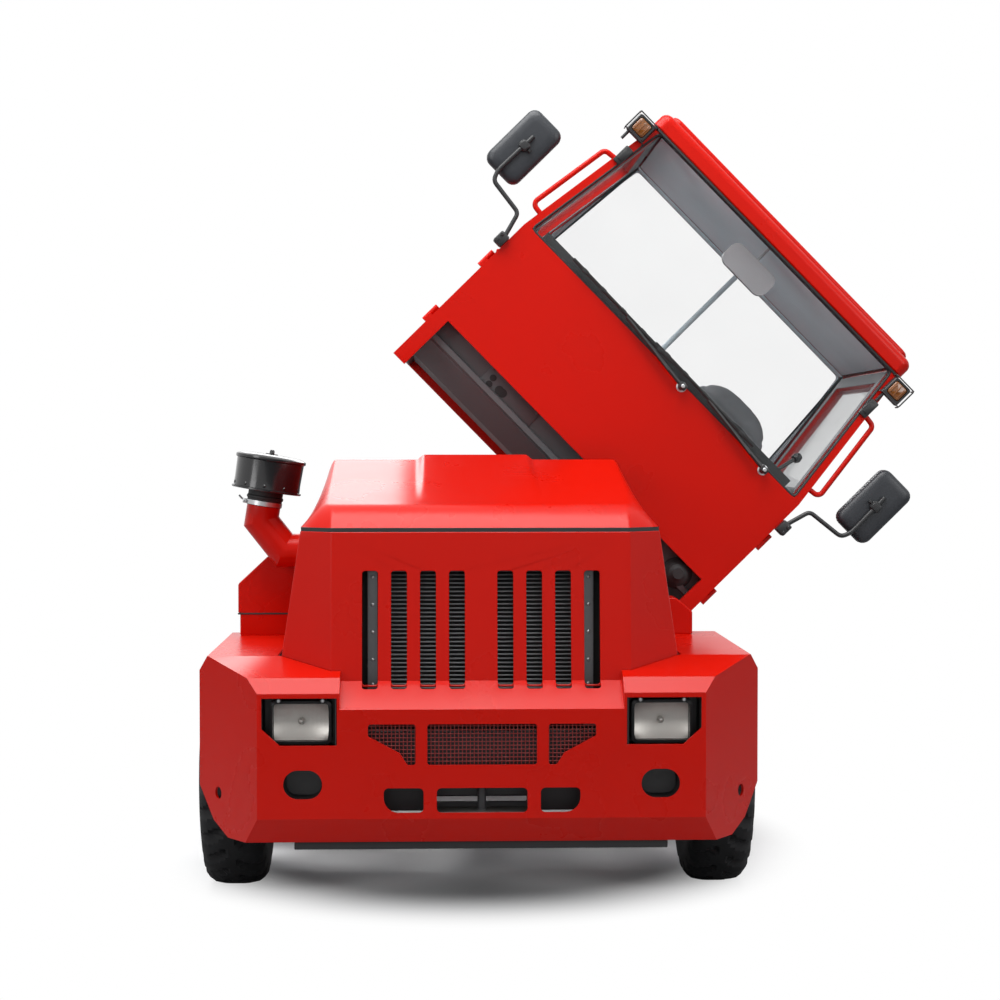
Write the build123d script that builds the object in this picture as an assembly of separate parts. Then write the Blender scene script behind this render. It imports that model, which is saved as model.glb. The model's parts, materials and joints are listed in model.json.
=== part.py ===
from build123d import *
import math
import os

# Airport tow tractor with its cab tilted about a lengthwise hinge for service.
# Millimetres. X to the left side of the vehicle, Y to the rear, Z up, floor at Z = 0.
# Lengths along Y are measured back from the bumper face until the parts are placed at the end.

# Whole vehicle
OVERALL_LENGTH = 3300
SHEET = 8
FIT = 0.3

# Wheels and axles
FRONT_AXLE_Y = 860
FRONT_TYRE_D = 805
FRONT_TYRE_W = 222
REAR_TYRE_D = 850
REAR_TYRE_W = 236
FRONT_WHEEL_X = 845
REAR_WHEEL_X = 856
RIM_D = 420
RIM_WALL = 12
RIM_W = 170
HUB_D = 150
HUB_OUT = 15
DISC_R = 118
DISC_T = 12
DISC_IN = 40
DISH = 15
HUB_IN = 70
SPINDLE_D = 60
SPINDLE_TIP_X = 895
KINGPIN_X = 690
KINGPIN_BOSS_D = 80
KINGPIN_BOSS_H = 120
FORK_T = 22
FORK_GAP = 0.3
TIE_ARM_L = 150
TIE_ROD_D = 30

# Axle forgings
AXLE_DROP_X = 520
AXLE_FLAT_X = 600
AXLE_DROP = 36
AXLE_TOP_DROP = 20
AXLE_WEB = 80
SPRING_SEAT_W = 70
SPRING_SEAT_LENGTH = 180
SPRING_SEAT_DEPTH = 30
KNUCKLE_W = 84
KNUCKLE_WEB_T = 26
KNUCKLE_ROOM = 6
TIE_ARM_W = 50
REAR_TUBE_X = 700
REAR_TUBE_D = 130
DIFF_R = 160
DIFF_NOSE_L = 170
DIFF_NOSE_D = 150

# Engine and drive line
ENGINE_X = 230
ENGINE_Y0 = 400
ENGINE_Y1 = 1000
ENGINE_Z0 = 560
ENGINE_Z1 = 1180
SUMP_STEP = 40
SUMP_DEPTH = 70
ENGINE_FOOT_YS = (520, 900)
ENGINE_FOOT_W = 60
ENGINE_FOOT_H = 50
BELL_X = 200
BELL_Y1 = 1180
BELL_Z0 = 450
BELL_Z1 = 640
GEARBOX_X = 150
GEARBOX_Y1 = 1500
GEARBOX_Z0 = 420
GEARBOX_Z1 = 600
SHAFT_Z = 500
SHAFT_D = 76
SHAFT_FLANGE_D = 130
SHAFT_FLANGE_T = 20

# Radiator
RADIATOR_X = 335
RADIATOR_Y0 = 215
RADIATOR_Y1 = 285
RADIATOR_FOOT_H = 50
RADIATOR_Z1 = 1210
RADIATOR_TANK_H = 65
RADIATOR_TANK_OUT = 15
RADIATOR_FRAME_W = 33
RADIATOR_FRAME_OUT = 20
RADIATOR_FOOT_X = 420

# Ladder frame
RAIL_IN_X = 380
RAIL_OUT_X = 450
RAIL_Y0 = SHEET
CROSS_W = 60
CROSS_FRONT_Y = 80
RAIL_H = 140
RAIL_AXLE_ROOM = 10
RAIL_KINGPIN_ROOM = 37.5
CROSS_AXLE_ROOM = 330
RAIL_END_IN = 50

# Bumper and fender unit
BUMPER_FACE_X = 712
BUMPER_OUT_X = 925
BUMPER_CORNER_Y = 300
BUMPER_Z0 = 290
BUMPER_CHIN_Z = 374
BUMPER_CHIN_Y = 60
BUMPER_TOP_Z = 721
SHELF_X = 452
BROW_Z = 772
BROW_Y = 50
FENDER_FRONT_Y = 250
FENDER_TYRE_ROOM = 62
FENDER_LIP = 50
FENDER_REAR_Y = 1130
FENDER_EDGE_X = 895
CORNER_TIP_Z = 440
CORNER_TIP_SHARE = 0.25
CORNER_TIP_RISE = 45
CORNER_HOLE_D = 40
CORNER_HOLE_Z = 427
WINDOW_CENTRE = [(-174, 544), (174, 544), (174, 674), (-174, 674)]
WINDOW_SIDE = [(211, 544), (237, 544), (261, 582), (362, 636), (362, 674), (211, 674)]
WINDOW_R = 9
MESH_X = 375
MESH_T = 3
MESH_Z0 = 530
MESH_Z1 = 688
LOW_SLOT_X = 144
LOW_SIDE_X0 = 186
LOW_SIDE_X1 = 312
LOW_SLOT_Z0 = 392
LOW_SLOT_Z1 = 471
LOW_SLOT_R = 15
LOW_SIDE_R = 48
LINER_X = 340
LINER_T = 8
SLIT_X = 146
SLIT_Z0 = 410
SLIT_Z1 = 428
FOG_HOLE_X = 568
FOG_HOLE_Z = 483
FOG_HOLE_W = 123
FOG_HOLE_H = 92
LAMP_OPEN_Z0 = 607
LAMP_OPEN_Z1 = 757
LAMP_OPEN_X1 = 698
LAMP_CORNER_X = 640
LAMP_CORNER_Z = 660
BUCKET_WALL = 6
BUCKET_Y1 = 104
LAMP_X = 576
LAMP_Z = 676
LAMP_W = 184
LAMP_H = 126
LAMP_Y0 = 32
LAMP_R = 14
SKID_T = 12
SKID_PLAN = [(600, 90), (600, 330), (510, 420), (510, 620)]
SKID_DROP = 28
SKID_HANGER_Y0 = 200
SKID_HANGER_Y1 = 320
TOW_PIN_Y = 55
TOW_PIN_D = 28
TOW_JAW_X = 170
TOW_JAW_Y1 = 110
TOW_JAW_Z0 = 380
TOW_JAW_Z1 = 500

# Engine housing: fascia, hood sides and lid
FASCIA_X = 484
FASCIA_Y0 = 110
FASCIA_Y1 = 150
HOOD_X0 = 665
HOOD_X1 = 588
HOOD_CORNER_Y0 = 260
HOOD_CORNER_Y1 = 230
HOOD_REAR_Y = 1050
HOOD_FOOT_Z = 780
HOOD_TOP_Z = 1277
FASCIA_SPLIT_Y = 420
SLOT_W = 51
SLOT_PITCH = 93.5
SLOT_FIRST_X = 78
SLOT_Z0 = 786
SLOT_R = 10
SLOT_SHELF_Y = 78
SHELF_REAR_Z = 800
SLOT_Z1 = 1152
SEAL_H = 13
SEAL_W = 22
LID_T = 6
LID_TOP_X = 520
LID_NOSE_Z = 1356
LID_NOSE_Y = 230
LID_REAR_Z = 1507
BULGE_X = 215
BULGE_H = 18
BULGE_Y0 = 300
LID_PIN_Y = 1064
LID_PIN_Z = 1480
LID_PIN_D = 20
LID_HINGE_X = 350
LID_HINGE_W = 40
LID_POST_T = 8
LID_POST_DROP = 120
LID_NOSE_IN = 14
LID_SHOULDER_R = 45

# Side boxes and air intake
BOX_Y0 = 1010
BOX_RIGHT_X = 863
BOX_RIGHT_TOP_X = 755
BOX_RIGHT_Z = 1155
BOX_RIGHT_EDGE_Z = 1054
BOX_SEAM_Z = 948
BOX_LID_OUT = 7
BOX_IN_X = 500
BOX_LEFT_BEVEL_X = 60
BOX_LEFT_BEVEL_Z = 50
BOX_BACK_Z = 1300
BOX_REVEAL = 20
BOX_LEFT_X = 797
BOX_LEFT_Z = 1000
INTAKE_D = 120
INTAKE_Y = 950
INTAKE_TURN_X = 690
INTAKE_ROOT_Z = 1180
DRUM_D = 253
DRUM_H = 137
DRUM_X = 745
DRUM_Z = 1462
DRUM_LEAN = 9
DRUM_EDGE = 10
NECK_L = 55
ELBOW_L = 55

# Cab, as it stands lowered
CAB_FRONT_Y = 1150
CAB_LENGTH = 950
CAB_WALL = 30
CAB_X = 732
CAB_FOOT_Z = 872
CAB_SILL_Z = 900
SILL_H = 50
SILL_W = 40
CUTOUT_Z = 1100
CAB_LEG_W = 57
BELT_Z = 1553
ROOF_SEAM_Z = 2160
ROOF_BAND_Z = 2228
ROOF_TOP_Z = 2246
ROOF_CROWN_IN = 34
ROOF_CROWN_R = 14
ROOF_X = 650
ROOF_OVERHANG = 12
ROOF_CORNER_R = 40
ROOF_EDGE_R = 30
ROOF_SKIN = 40
GLASS_T = 6
SCREEN_Z0 = 1562
SCREEN_Z1 = 2152
SCREEN_INSET = 30
REAR_GLASS_Z0 = 1695
REAR_GLASS_Z1 = 2152
REAR_GLASS_INSET = 48
MULLION_W = 14
FLOOR_Z = 930
FLOOR_T = 12

# Cab tilt
PIVOT_X = 712
PIVOT_Z = 872
TILT = 45.5
HINGE_EYE_D = 44
HINGE_PIN_D = 24
HINGE_EYE_W = 40
LUG_T = 14
LUG_GAP = 1
HINGE_TYRE_ROOM = 77.5
HINGE_CAB_IN = 80
BEAM_W = 70
BEAM_H = 80
PAD_GAP = 1

# Tilt cylinder
RAM_CAB_IN = 200
RAM_FOOT_X = 305
RAM_FOOT_Z = 410
RAM_EYE_X = 240
RAM_EYE_Z = 880
RAM_BARREL_D = 70
RAM_ROD_D = 40
RAM_EYE_D = 56
RAM_EYE_W = 46
RAM_PIN_D = 24
RAM_END_ROOM = 54
RAM_CROSS_W = 100
RAM_CROSS_H = 60
RAM_FOOT_ROOM = 4
RAM_NECK_L = 14
RAM_BASE_T = 8

# Cab floor and fire wall
FIRE_WALL_BACK = 40
TOE_L = 190
TOE_H = 90
RIDGE_T = 22
RIDGE_H = 24
CABLE_HOLE_D = 30
CABLE_HOLE_XS = (-330, -285)
CABLE_SLOT_X = -230
CABLE_SLOT_W = 60
CABLE_HOLE_RISE = 150
CLOSER_RISE = 68
LUG_FOOT = 30

# Dashboard and steering wheel
DASH_X = 650
DASH_Z0 = 1330
DASH_Z1 = 1600
DASH_TOP_L = 120
DASH_NOSE_L = 230
DASH_NOSE_Z = 1470
DASH_FOOT_L = 230
COLUMN_X = 400
COLUMN_D = 60
COLUMN_START = (215, 1341)
COLUMN_END = (340, 1490)
WHEEL_R = 165
WHEEL_RIM_R = 14
WHEEL_HUB_R = 40
WHEEL_HUB_H = 36
WHEEL_HUB_DROP = 10
SPOKE_W = 26
SPOKE_T = 10
SPOKE_ANGLES = (90, 210, 330)

# Driver's seat
SEAT_X = 400
SEAT_BASE_W = 440
SEAT_BASE_Y0 = 1560
SEAT_BASE_Y1 = 2000
SEAT_BASE_R = 25
SEAT_Z = 1130
CUSHION_W = 480
CUSHION_Y0 = 1540
CUSHION_Y1 = 1930
CUSHION_H = 120
CUSHION_R = 35
BACKREST_W = 440
BACKREST_TOP_Z = 1810
BACKREST_FOOT = (1931, 1995)
BACKREST_TOP = (2000, 2050)
BACKREST_R = 170

# Mirrors, handles, lamps and wipers of the cab
INNER_MIRROR_X = -25
INNER_MIRROR_Y = 1230
INNER_MIRROR_Z = 2046
INNER_MIRROR_W = 220
INNER_MIRROR_H = 100
INNER_MIRROR_T = 30
INNER_MIRROR_R = 36
INNER_STALK_D = 10
MIRROR_W = 160
MIRROR_H = 270
MIRROR_T = 53
MIRROR_R = 34
MIRROR_BACK_R = 12
MIRROR_OUT = 206
MIRROR_RISE = 202
MIRROR_ARM_D = 17
MIRROR_ARM_R = 18
MIRROR_ARM_Y = 12
MIRROR_ARM_RUN = [(15, -95), (45, 12), (194, 30), (210, 68), (206, 250)]
MIRROR_CLAMP_W = 40
MIRROR_CLAMP_Z0 = -125
MIRROR_CLAMP_Z1 = -75
HANDLE_Z0 = 72
HANDLE_Z1 = 415
HANDLE_OUT = 44
HANDLE_SLANT = 6
HANDLE_D = 20
HANDLE_R = 22
CORNER_LAMP_RISE = 556
CORNER_LAMP_IN = 24
CORNER_LAMP_W = 96
CORNER_LAMP_T = 52
CORNER_LAMP_R = 12
WIPER_XS = (108, 543)
WIPER_POST_L = 40
WIPER_POST_D = 22
WIPER_ARM_D = 9
WIPER_ARM_L = 330
WIPER_BLADE_X = (90, 620)
WIPER_BLADE_Z = (30, 42, 36, 50)
WIPER_BLADE_Y = (34, 22)

# Doors
DOOR_T = 36
DOOR_GAP = 4
DOOR_REAR_GAP = 18
DOOR_TOP_GAP = 8
DOOR_PIN_X = 742
DOOR_PIN_D = 20
DOOR_HINGE_ZS = (1040, 1330)
DOOR_HINGE_H = 36
DOOR_GLASS_Z0 = 1600
DOOR_GLASS_MARGIN = 55
DOOR_LEAF_L = 40
DOOR_LEAF_IN = 2
HINGE_LEAF_Y = 4
PULL_Z = 1480
PULL_OUT = 30
PULL_D = 16
PULL_POST_D = 12
PULL_Y = (190, 60)
PULL_POST_IN = 10

# Tanks and steps
TANK_HINGE_ROOM = 60
TANK_TYRE_ROOM = 215
TANK_X = 690
TANK_Z0 = 400
TANK_Z1 = 690
TANK_R = 30
BATTERY_BOX_BEVEL = 12
STEP_INSET = 30
STEP_X = 890
STEP_ZS = (300, 560)
STEP_T = 12

# Rear body
CAB_TO_REAR_AXLE = 500
REAR_BODY_FRONT = 420
REAR_TYRE_ROOM = 35
REAR_CORNER_L = 140
DECK_TYRE_ROOM = 50
HITCH_REACH = 62
REAR_BODY_X = 925
REAR_CORE_X = 650
DECK_T = 12
DECK_LIP = 38
REAR_CORNER_Z = 480
HITCH_BORE_D = 32
HITCH_JAW_ZS = (380, 450, 520)
HITCH_JAW_T = 20
HITCH_JAW_X = 60
HITCH_NOSE_R = 37.5
HITCH_PLATE_X = 110
HITCH_PLATE_T = 16
HITCH_PLATE_Z0 = 360
HITCH_PLATE_Z1 = 560
REAR_PLATE_Z = 340
REAR_CHAMFER = 60
TAIL_X0 = 700
TAIL_X1 = 840
TAIL_Z0 = 700
TAIL_Z1 = 790
TAIL_DEPTH = 28
TAIL_R = 12

# Derived places
FRONT_HUB_Z = FRONT_TYRE_D / 2
REAR_HUB_Z = REAR_TYRE_D / 2
RAIL_Z0 = max(
    REAR_HUB_Z + REAR_TUBE_D / 2 + RAIL_AXLE_ROOM, FRONT_HUB_Z + KINGPIN_BOSS_H / 2 + RAIL_KINGPIN_ROOM)
RAIL_Z1 = RAIL_Z0 + RAIL_H
RADIATOR_Z0 = RAIL_Z1 + RADIATOR_FOOT_H
FENDER_Z = FRONT_TYRE_D + FENDER_TYRE_ROOM
BROW_MID_Z = FENDER_Z - FENDER_LIP
SKIRT_Z = FENDER_Z - FENDER_LIP
CAB_REAR_Y = CAB_FRONT_Y + CAB_LENGTH
HINGE_YS = (FRONT_AXLE_Y + FRONT_TYRE_D / 2 + HINGE_TYRE_ROOM, CAB_REAR_Y - HINGE_CAB_IN)
RAM_Y = CAB_REAR_Y - RAM_CAB_IN
REAR_AXLE_Y = CAB_REAR_Y + CAB_TO_REAR_AXLE
CROSS_MID_Y = REAR_AXLE_Y - CROSS_AXLE_ROOM
TANK_Y0 = HINGE_YS[0] + TANK_HINGE_ROOM
TANK_Y1 = REAR_AXLE_Y - REAR_TYRE_D / 2 - TANK_TYRE_ROOM
REAR_BODY_Y0 = REAR_AXLE_Y - REAR_BODY_FRONT
REAR_CORNER_Y = REAR_AXLE_Y + REAR_TYRE_D / 2 + REAR_TYRE_ROOM
REAR_BODY_Y1 = REAR_CORNER_Y + REAR_CORNER_L
RAIL_Y1 = REAR_BODY_Y1 - RAIL_END_IN
DECK_Z = REAR_TYRE_D + DECK_TYRE_ROOM
HITCH_BORE_Y = REAR_BODY_Y1 + HITCH_REACH
LID_FOOT_Z = HOOD_TOP_Z + SEAL_H
LID_RISE = (LID_REAR_Z - LID_NOSE_Z) / (HOOD_REAR_Y - LID_NOSE_Y)
PILLAR_LEAN = (CAB_X - ROOF_X) / (ROOF_SEAM_Z - BELT_Z)
SIN_TILT = math.sin(math.radians(TILT))
COS_TILT = math.cos(math.radians(TILT))
CAB_PLACE = Pos(PIVOT_X, 0, PIVOT_Z) * Rot(0, TILT, 0) * Pos(-PIVOT_X, 0, -PIVOT_Z)
PLACE = Pos(0, -OVERALL_LENGTH / 2, 0)


def block(x0, x1, y0, y1, z0, z1):
    """A box between two corners."""
    middle = Pos((x0 + x1) / 2, (y0 + y1) / 2, (z0 + z1) / 2)
    return middle * Box(abs(x1 - x0), abs(y1 - y0), abs(z1 - z0))


def polygon(points):
    return make_face(Polyline(*points, close=True))


def mirrored(points):
    """A half outline, given from its first to its last point on +X, closed over to -X."""
    return points + [(-x, y) for x, y in reversed(points)]


def prism_xz(points, y0, y1):
    """An outline in X and Z, carried along Y."""
    plane = Plane((0, y1, 0), x_dir=(1, 0, 0), z_dir=(0, -1, 0))
    return extrude(plane * polygon(points), amount=y1 - y0)


def prism_yz(points, x0, x1):
    """An outline in Y and Z, carried along X."""
    plane = Plane((x0, 0, 0), x_dir=(0, 1, 0), z_dir=(1, 0, 0))
    return extrude(plane * polygon(points), amount=x1 - x0)


def prism_xy(points, z0, z1):
    """An outline in X and Y, carried up Z."""
    return extrude(Pos(0, 0, z0) * polygon(points), amount=z1 - z0)


def rod(start, end, diameter):
    """A round bar between two points."""
    line = Line(start, end)
    return sweep((line ^ 0) * Circle(diameter / 2), path=line)


def bent_tube(points, radius, diameter):
    """A round bar bent along straight runs with one radius at every corner."""
    path = FilletPolyline(*points, radius=radius)
    return sweep((path ^ 0) * Circle(diameter / 2), path=path)


def across(shape):
    """The same piece on the other side of the vehicle."""
    return mirror(shape, about=Plane.YZ)


def both_sides(shape):
    return Compound([shape, across(shape)])


def lid_top_z(y):
    return LID_NOSE_Z + (y - LID_NOSE_Y) * LID_RISE


def pillar_x(z):
    """The cab's outer half width at a height."""
    return CAB_X - max(0, z - BELT_Z) * PILLAR_LEAN


# Chassis

def chassis_frame():
    rail = block(RAIL_IN_X, RAIL_OUT_X, RAIL_Y0, RAIL_Y1, RAIL_Z0, RAIL_Z1)
    frame = rail + across(rail)
    for y in (CROSS_FRONT_Y, CROSS_MID_Y, RAIL_Y1 - CROSS_W):
        frame += block(-RAIL_IN_X, RAIL_IN_X, y, y + CROSS_W, RAIL_Z0, RAIL_Z1)
    # dropped cross member under the tilt cylinder's foot
    foot_top = RAM_FOOT_Z - RAM_EYE_D / 2 - RAM_FOOT_ROOM
    y0 = RAM_Y - RAM_CROSS_W / 2
    y1 = RAM_Y + RAM_CROSS_W / 2
    drop = block(-RAIL_OUT_X, RAIL_OUT_X, y0, y1, foot_top - RAM_CROSS_H, foot_top)
    for side in (-1, 1):
        drop += block(side * RAIL_IN_X, side * RAIL_OUT_X, y0, y1, foot_top, RAIL_Z0)
    cheek = ram_clevis_outline(RAM_FOOT_X, RAM_FOOT_Z, foot_top)
    for side in (-1, 1):
        y = RAM_Y + side * (RAM_EYE_W / 2 + LUG_GAP + LUG_T / 2)
        drop += prism_xz(cheek, y - LUG_T / 2, y + LUG_T / 2)
    drop += rod(
        (RAM_FOOT_X, RAM_Y - RAM_EYE_W / 2 - LUG_T, RAM_FOOT_Z),
        (RAM_FOOT_X, RAM_Y + RAM_EYE_W / 2 + LUG_T, RAM_FOOT_Z),
        RAM_PIN_D,
    )
    frame += drop
    for y in HINGE_YS:
        frame += hinge_beam(y)
    return frame


def ram_clevis_outline(x, z, root_z):
    """A cheek plate round a cylinder pin, down or up to the member that carries it."""
    half = RAM_EYE_D / 2
    tip = z + half if root_z < z else z - half
    return [(x - half, root_z), (x + half, root_z), (x + half, tip), (x - half, tip)]


def hinge_beam(y):
    """A cross beam with the hinge lugs on the left and a rubber topped post on the right."""
    top = RAIL_Z1 + BEAM_H
    beam = block(-CAB_X, PIVOT_X + HINGE_EYE_D / 2, y - BEAM_W / 2, y + BEAM_W / 2, RAIL_Z1, top)
    for side in (-1, 1):
        middle = y + side * (HINGE_EYE_W / 2 + LUG_GAP + LUG_T / 2)
        arm = block(
            PIVOT_X - HINGE_EYE_D / 2, PIVOT_X + HINGE_EYE_D / 2,
            middle - LUG_T / 2, middle + LUG_T / 2, top, PIVOT_Z,
        )
        eye = rod((PIVOT_X, middle - LUG_T / 2, PIVOT_Z), (PIVOT_X, middle + LUG_T / 2, PIVOT_Z), HINGE_EYE_D)
        beam += arm + eye
    reach = HINGE_EYE_W / 2 + LUG_GAP + LUG_T
    beam += rod((PIVOT_X, y - reach, PIVOT_Z), (PIVOT_X, y + reach, PIVOT_Z), HINGE_PIN_D)
    post_top = CAB_SILL_Z - PAD_GAP
    beam += block(-CAB_X, -CAB_X + SILL_W, y - BEAM_W / 2, y + BEAM_W / 2, top, post_top)
    return beam


def bumper_solid(inset):
    """The bumper and fender form as plan, side and front outlines crossed, set in by a wall."""
    far = FENDER_REAR_Y + (300 if inset else 0)
    low = BUMPER_Z0 - (200 if inset else 0)
    chin_slope = BUMPER_CHIN_Y / (BUMPER_CHIN_Z - BUMPER_Z0)
    chin_y = (BUMPER_CHIN_Z - low) * chin_slope
    plan = polygon(mirrored([
        (BUMPER_FACE_X, 0), (BUMPER_OUT_X, BUMPER_CORNER_Y), (BUMPER_OUT_X, far),
    ]))
    side = polygon([
        (chin_y, low), (0, BUMPER_CHIN_Z), (0, BROW_Z), (BROW_Y, BROW_MID_Z),
        (FENDER_FRONT_Y, FENDER_Z), (far, FENDER_Z), (far, low),
    ])
    tip = (BUMPER_OUT_X - BUMPER_FACE_X) * CORNER_TIP_SHARE
    front = polygon(mirrored([
        (BUMPER_FACE_X + 2 * tip, low), (BUMPER_OUT_X - tip, low + CORNER_TIP_RISE),
        (BUMPER_OUT_X, CORNER_TIP_Z),
        (BUMPER_OUT_X, BROW_MID_Z), (FENDER_EDGE_X, FENDER_Z),
    ]))
    if inset:
        plan, side, front = (offset(f, -inset, kind=Kind.INTERSECTION) for f in (plan, side, front))
    upright = Plane((0, far, 0), x_dir=(1, 0, 0), z_dir=(0, -1, 0))
    sideways = Plane((-BUMPER_OUT_X, 0, 0), x_dir=(0, 1, 0), z_dir=(1, 0, 0))
    form = extrude(plan, amount=FENDER_Z)
    form &= extrude(sideways * side, amount=2 * BUMPER_OUT_X)
    return form & extrude(upright * front, amount=far)


def shelf_plate():
    """The sloping step between the headlamps, with a cheek at each end under the brows."""
    slope = [(0, BUMPER_TOP_Z), (FASCIA_Y0, SHELF_REAR_Z)]
    under = [(y, z - SHEET) for y, z in reversed(slope)]
    shelf = prism_yz(slope + under, -SHELF_X, SHELF_X)
    for x in slot_xs():
        length = 2 * (FASCIA_Y0 - SLOT_SHELF_Y)
        notch = RectangleRounded(SLOT_W, length, SLOT_R)
        shelf -= Pos(x, FASCIA_Y0, BUMPER_TOP_Z) * extrude(notch, amount=FENDER_Z - BUMPER_TOP_Z)
    cheek_outline = [
        (0, BUMPER_TOP_Z - SHEET), (0, BROW_Z), (BROW_Y, BROW_MID_Z),
        (FASCIA_Y0, BROW_MID_Z + (FASCIA_Y0 - BROW_Y) * (FENDER_Z - BROW_MID_Z) / (FENDER_FRONT_Y - BROW_Y)),
        (FASCIA_Y0, SHELF_REAR_Z - SHEET),
    ]
    cheek = prism_yz(cheek_outline, SHELF_X, SHELF_X + SHEET)
    return shelf + cheek + across(cheek)


def through_face(outline, radius=0):
    """A cutter through the bumper's front plate, its corners rounded where a radius is given."""
    face = polygon(outline)
    if radius:
        face = fillet(face.vertices(), radius)
    plane = Plane((0, SHEET + 1, 0), x_dir=(1, 0, 0), z_dir=(0, -1, 0))
    return extrude(plane * face, amount=SHEET + 2)


def front_bumper():
    shell = bumper_solid(0) - bumper_solid(SHEET)
    shell -= block(-BUMPER_OUT_X, BUMPER_OUT_X, BUMPER_CORNER_Y, FENDER_REAR_Y, 0, SKIRT_Z)
    # room for the engine housing
    shell -= block(-SHELF_X, SHELF_X, -1, FENDER_REAR_Y, BUMPER_TOP_Z, FENDER_Z + 1)
    corner = [
        (SHELF_X, FASCIA_Y0), (FASCIA_X, FASCIA_Y0), (HOOD_X0, HOOD_CORNER_Y0), (HOOD_X0, FENDER_REAR_Y + 1)]
    grown = offset(polygon(mirrored(corner)), FIT, kind=Kind.INTERSECTION)
    shell -= extrude(Pos(0, 0, BUMPER_TOP_Z) * grown, amount=FENDER_Z)
    shell += shelf_plate() - extrude(Pos(0, 0, BUMPER_TOP_Z) * grown, amount=FENDER_Z)
    shell -= headlamp_opening() + across(headlamp_opening())
    for outline in mesh_outlines():
        shell -= through_face(outline, WINDOW_R)
    shell -= through_face(low_slot(-LOW_SLOT_X, LOW_SLOT_X), LOW_SLOT_R)
    shell -= low_side_slot() + across(low_side_slot())
    for side in (-1, 1):
        shell -= Pos(side * FOG_HOLE_X, SHEET / 2, FOG_HOLE_Z) * Rot(90, 0, 0) * extrude(
            SlotOverall(FOG_HOLE_W, FOG_HOLE_H), amount=SHEET, both=True)
        x = side * (BUMPER_FACE_X + 2 * BUMPER_OUT_X) / 3
        turn = math.degrees(math.atan2(BUMPER_CORNER_Y, BUMPER_OUT_X - BUMPER_FACE_X))
        y = BUMPER_CORNER_Y * (abs(x) - BUMPER_FACE_X) / (BUMPER_OUT_X - BUMPER_FACE_X)
        shell -= Pos(x, y, CORNER_HOLE_Z) * Rot(0, 0, side * turn) * Rot(90, 0, 0) * Cylinder(
            CORNER_HOLE_D / 2, 6 * SHEET)
    return shell


def low_slot(x0, x1):
    return [(x0, LOW_SLOT_Z0), (x1, LOW_SLOT_Z0), (x1, LOW_SLOT_Z1), (x0, LOW_SLOT_Z1)]


def low_side_slot():
    """A lower slot beside the middle one, its outer lower corner in a wide curve."""
    outline = polygon(low_slot(LOW_SIDE_X0, LOW_SIDE_X1))
    corner = outline.vertices().sort_by(Axis.X)[-2:].sort_by(Axis.Y)[0]
    outline = fillet(corner, LOW_SIDE_R)
    square = [v for v in outline.vertices() if v.X < LOW_SIDE_X0 + 1 or v.Y > LOW_SLOT_Z1 - 1]
    outline = fillet(square, LOW_SLOT_R)
    plane = Plane((0, SHEET + 1, 0), x_dir=(1, 0, 0), z_dir=(0, -1, 0))
    return extrude(plane * outline, amount=SHEET + 2)


def headlamp_opening():
    return through_face([
        (SHELF_X + SHEET, LAMP_OPEN_Z0), (LAMP_CORNER_X, LAMP_OPEN_Z0), (LAMP_OPEN_X1, LAMP_CORNER_Z),
        (LAMP_OPEN_X1, LAMP_OPEN_Z1), (SHELF_X + SHEET, LAMP_OPEN_Z1),
    ])


def mesh_outlines():
    return [WINDOW_CENTRE, WINDOW_SIDE, [(-x, z) for x, z in WINDOW_SIDE]]


def bumper_mesh():
    """The sheet of woven wire behind the three upper windows."""
    return block(-MESH_X, MESH_X, SHEET, SHEET + MESH_T, MESH_Z0, MESH_Z1)


def headlamp_buckets():
    """Open fronted boxes that hold the lamps behind the bumper's face."""
    x0 = SHELF_X + SHEET
    x1 = LAMP_OPEN_X1 + BUCKET_WALL
    z0 = LAMP_OPEN_Z0 - 2 * BUCKET_WALL
    z1 = LAMP_OPEN_Z1 + BUCKET_WALL
    outer = block(x0, x1, SHEET, BUCKET_Y1, z0, z1)
    wall = BUCKET_WALL
    inner = block(x0 + wall, x1 - wall, SHEET - 1, BUCKET_Y1 - wall, z0 + wall, z1 - wall)
    return both_sides(outer - inner)


def headlamp_lenses():
    """Rectangular sealed lamps on the backs of their boxes."""
    back = BUCKET_Y1 - BUCKET_WALL
    face = RectangleRounded(LAMP_W, LAMP_H, LAMP_R)
    lamp = Pos(LAMP_X, back, LAMP_Z) * Rot(90, 0, 0) * extrude(face, amount=back - LAMP_Y0)
    return both_sides(lamp)


def hood_outline(z):
    """The engine housing's plan at a height, by its foot and top outlines."""
    t = (z - HOOD_FOOT_Z) / (HOOD_TOP_Z - HOOD_FOOT_Z)
    front_y = FASCIA_Y0 + t * (FASCIA_Y1 - FASCIA_Y0)
    corner_x = HOOD_X0 + t * (HOOD_X1 - HOOD_X0)
    corner_y = HOOD_CORNER_Y0 + t * (HOOD_CORNER_Y1 - HOOD_CORNER_Y0)
    return mirrored([(FASCIA_X, front_y), (corner_x, corner_y), (corner_x, HOOD_REAR_Y)])


def hood_solid(inset):
    foot, top = (offset(polygon(hood_outline(z)), -inset, kind=Kind.INTERSECTION) if inset
                 else polygon(hood_outline(z)) for z in (HOOD_FOOT_Z, HOOD_TOP_Z))
    return loft([Pos(0, 0, HOOD_FOOT_Z) * foot, Pos(0, 0, HOOD_TOP_Z) * top], ruled=True)


def slot_xs():
    right = [SLOT_FIRST_X + i * SLOT_PITCH for i in range(4)]
    return [-x for x in reversed(right)] + right


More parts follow.
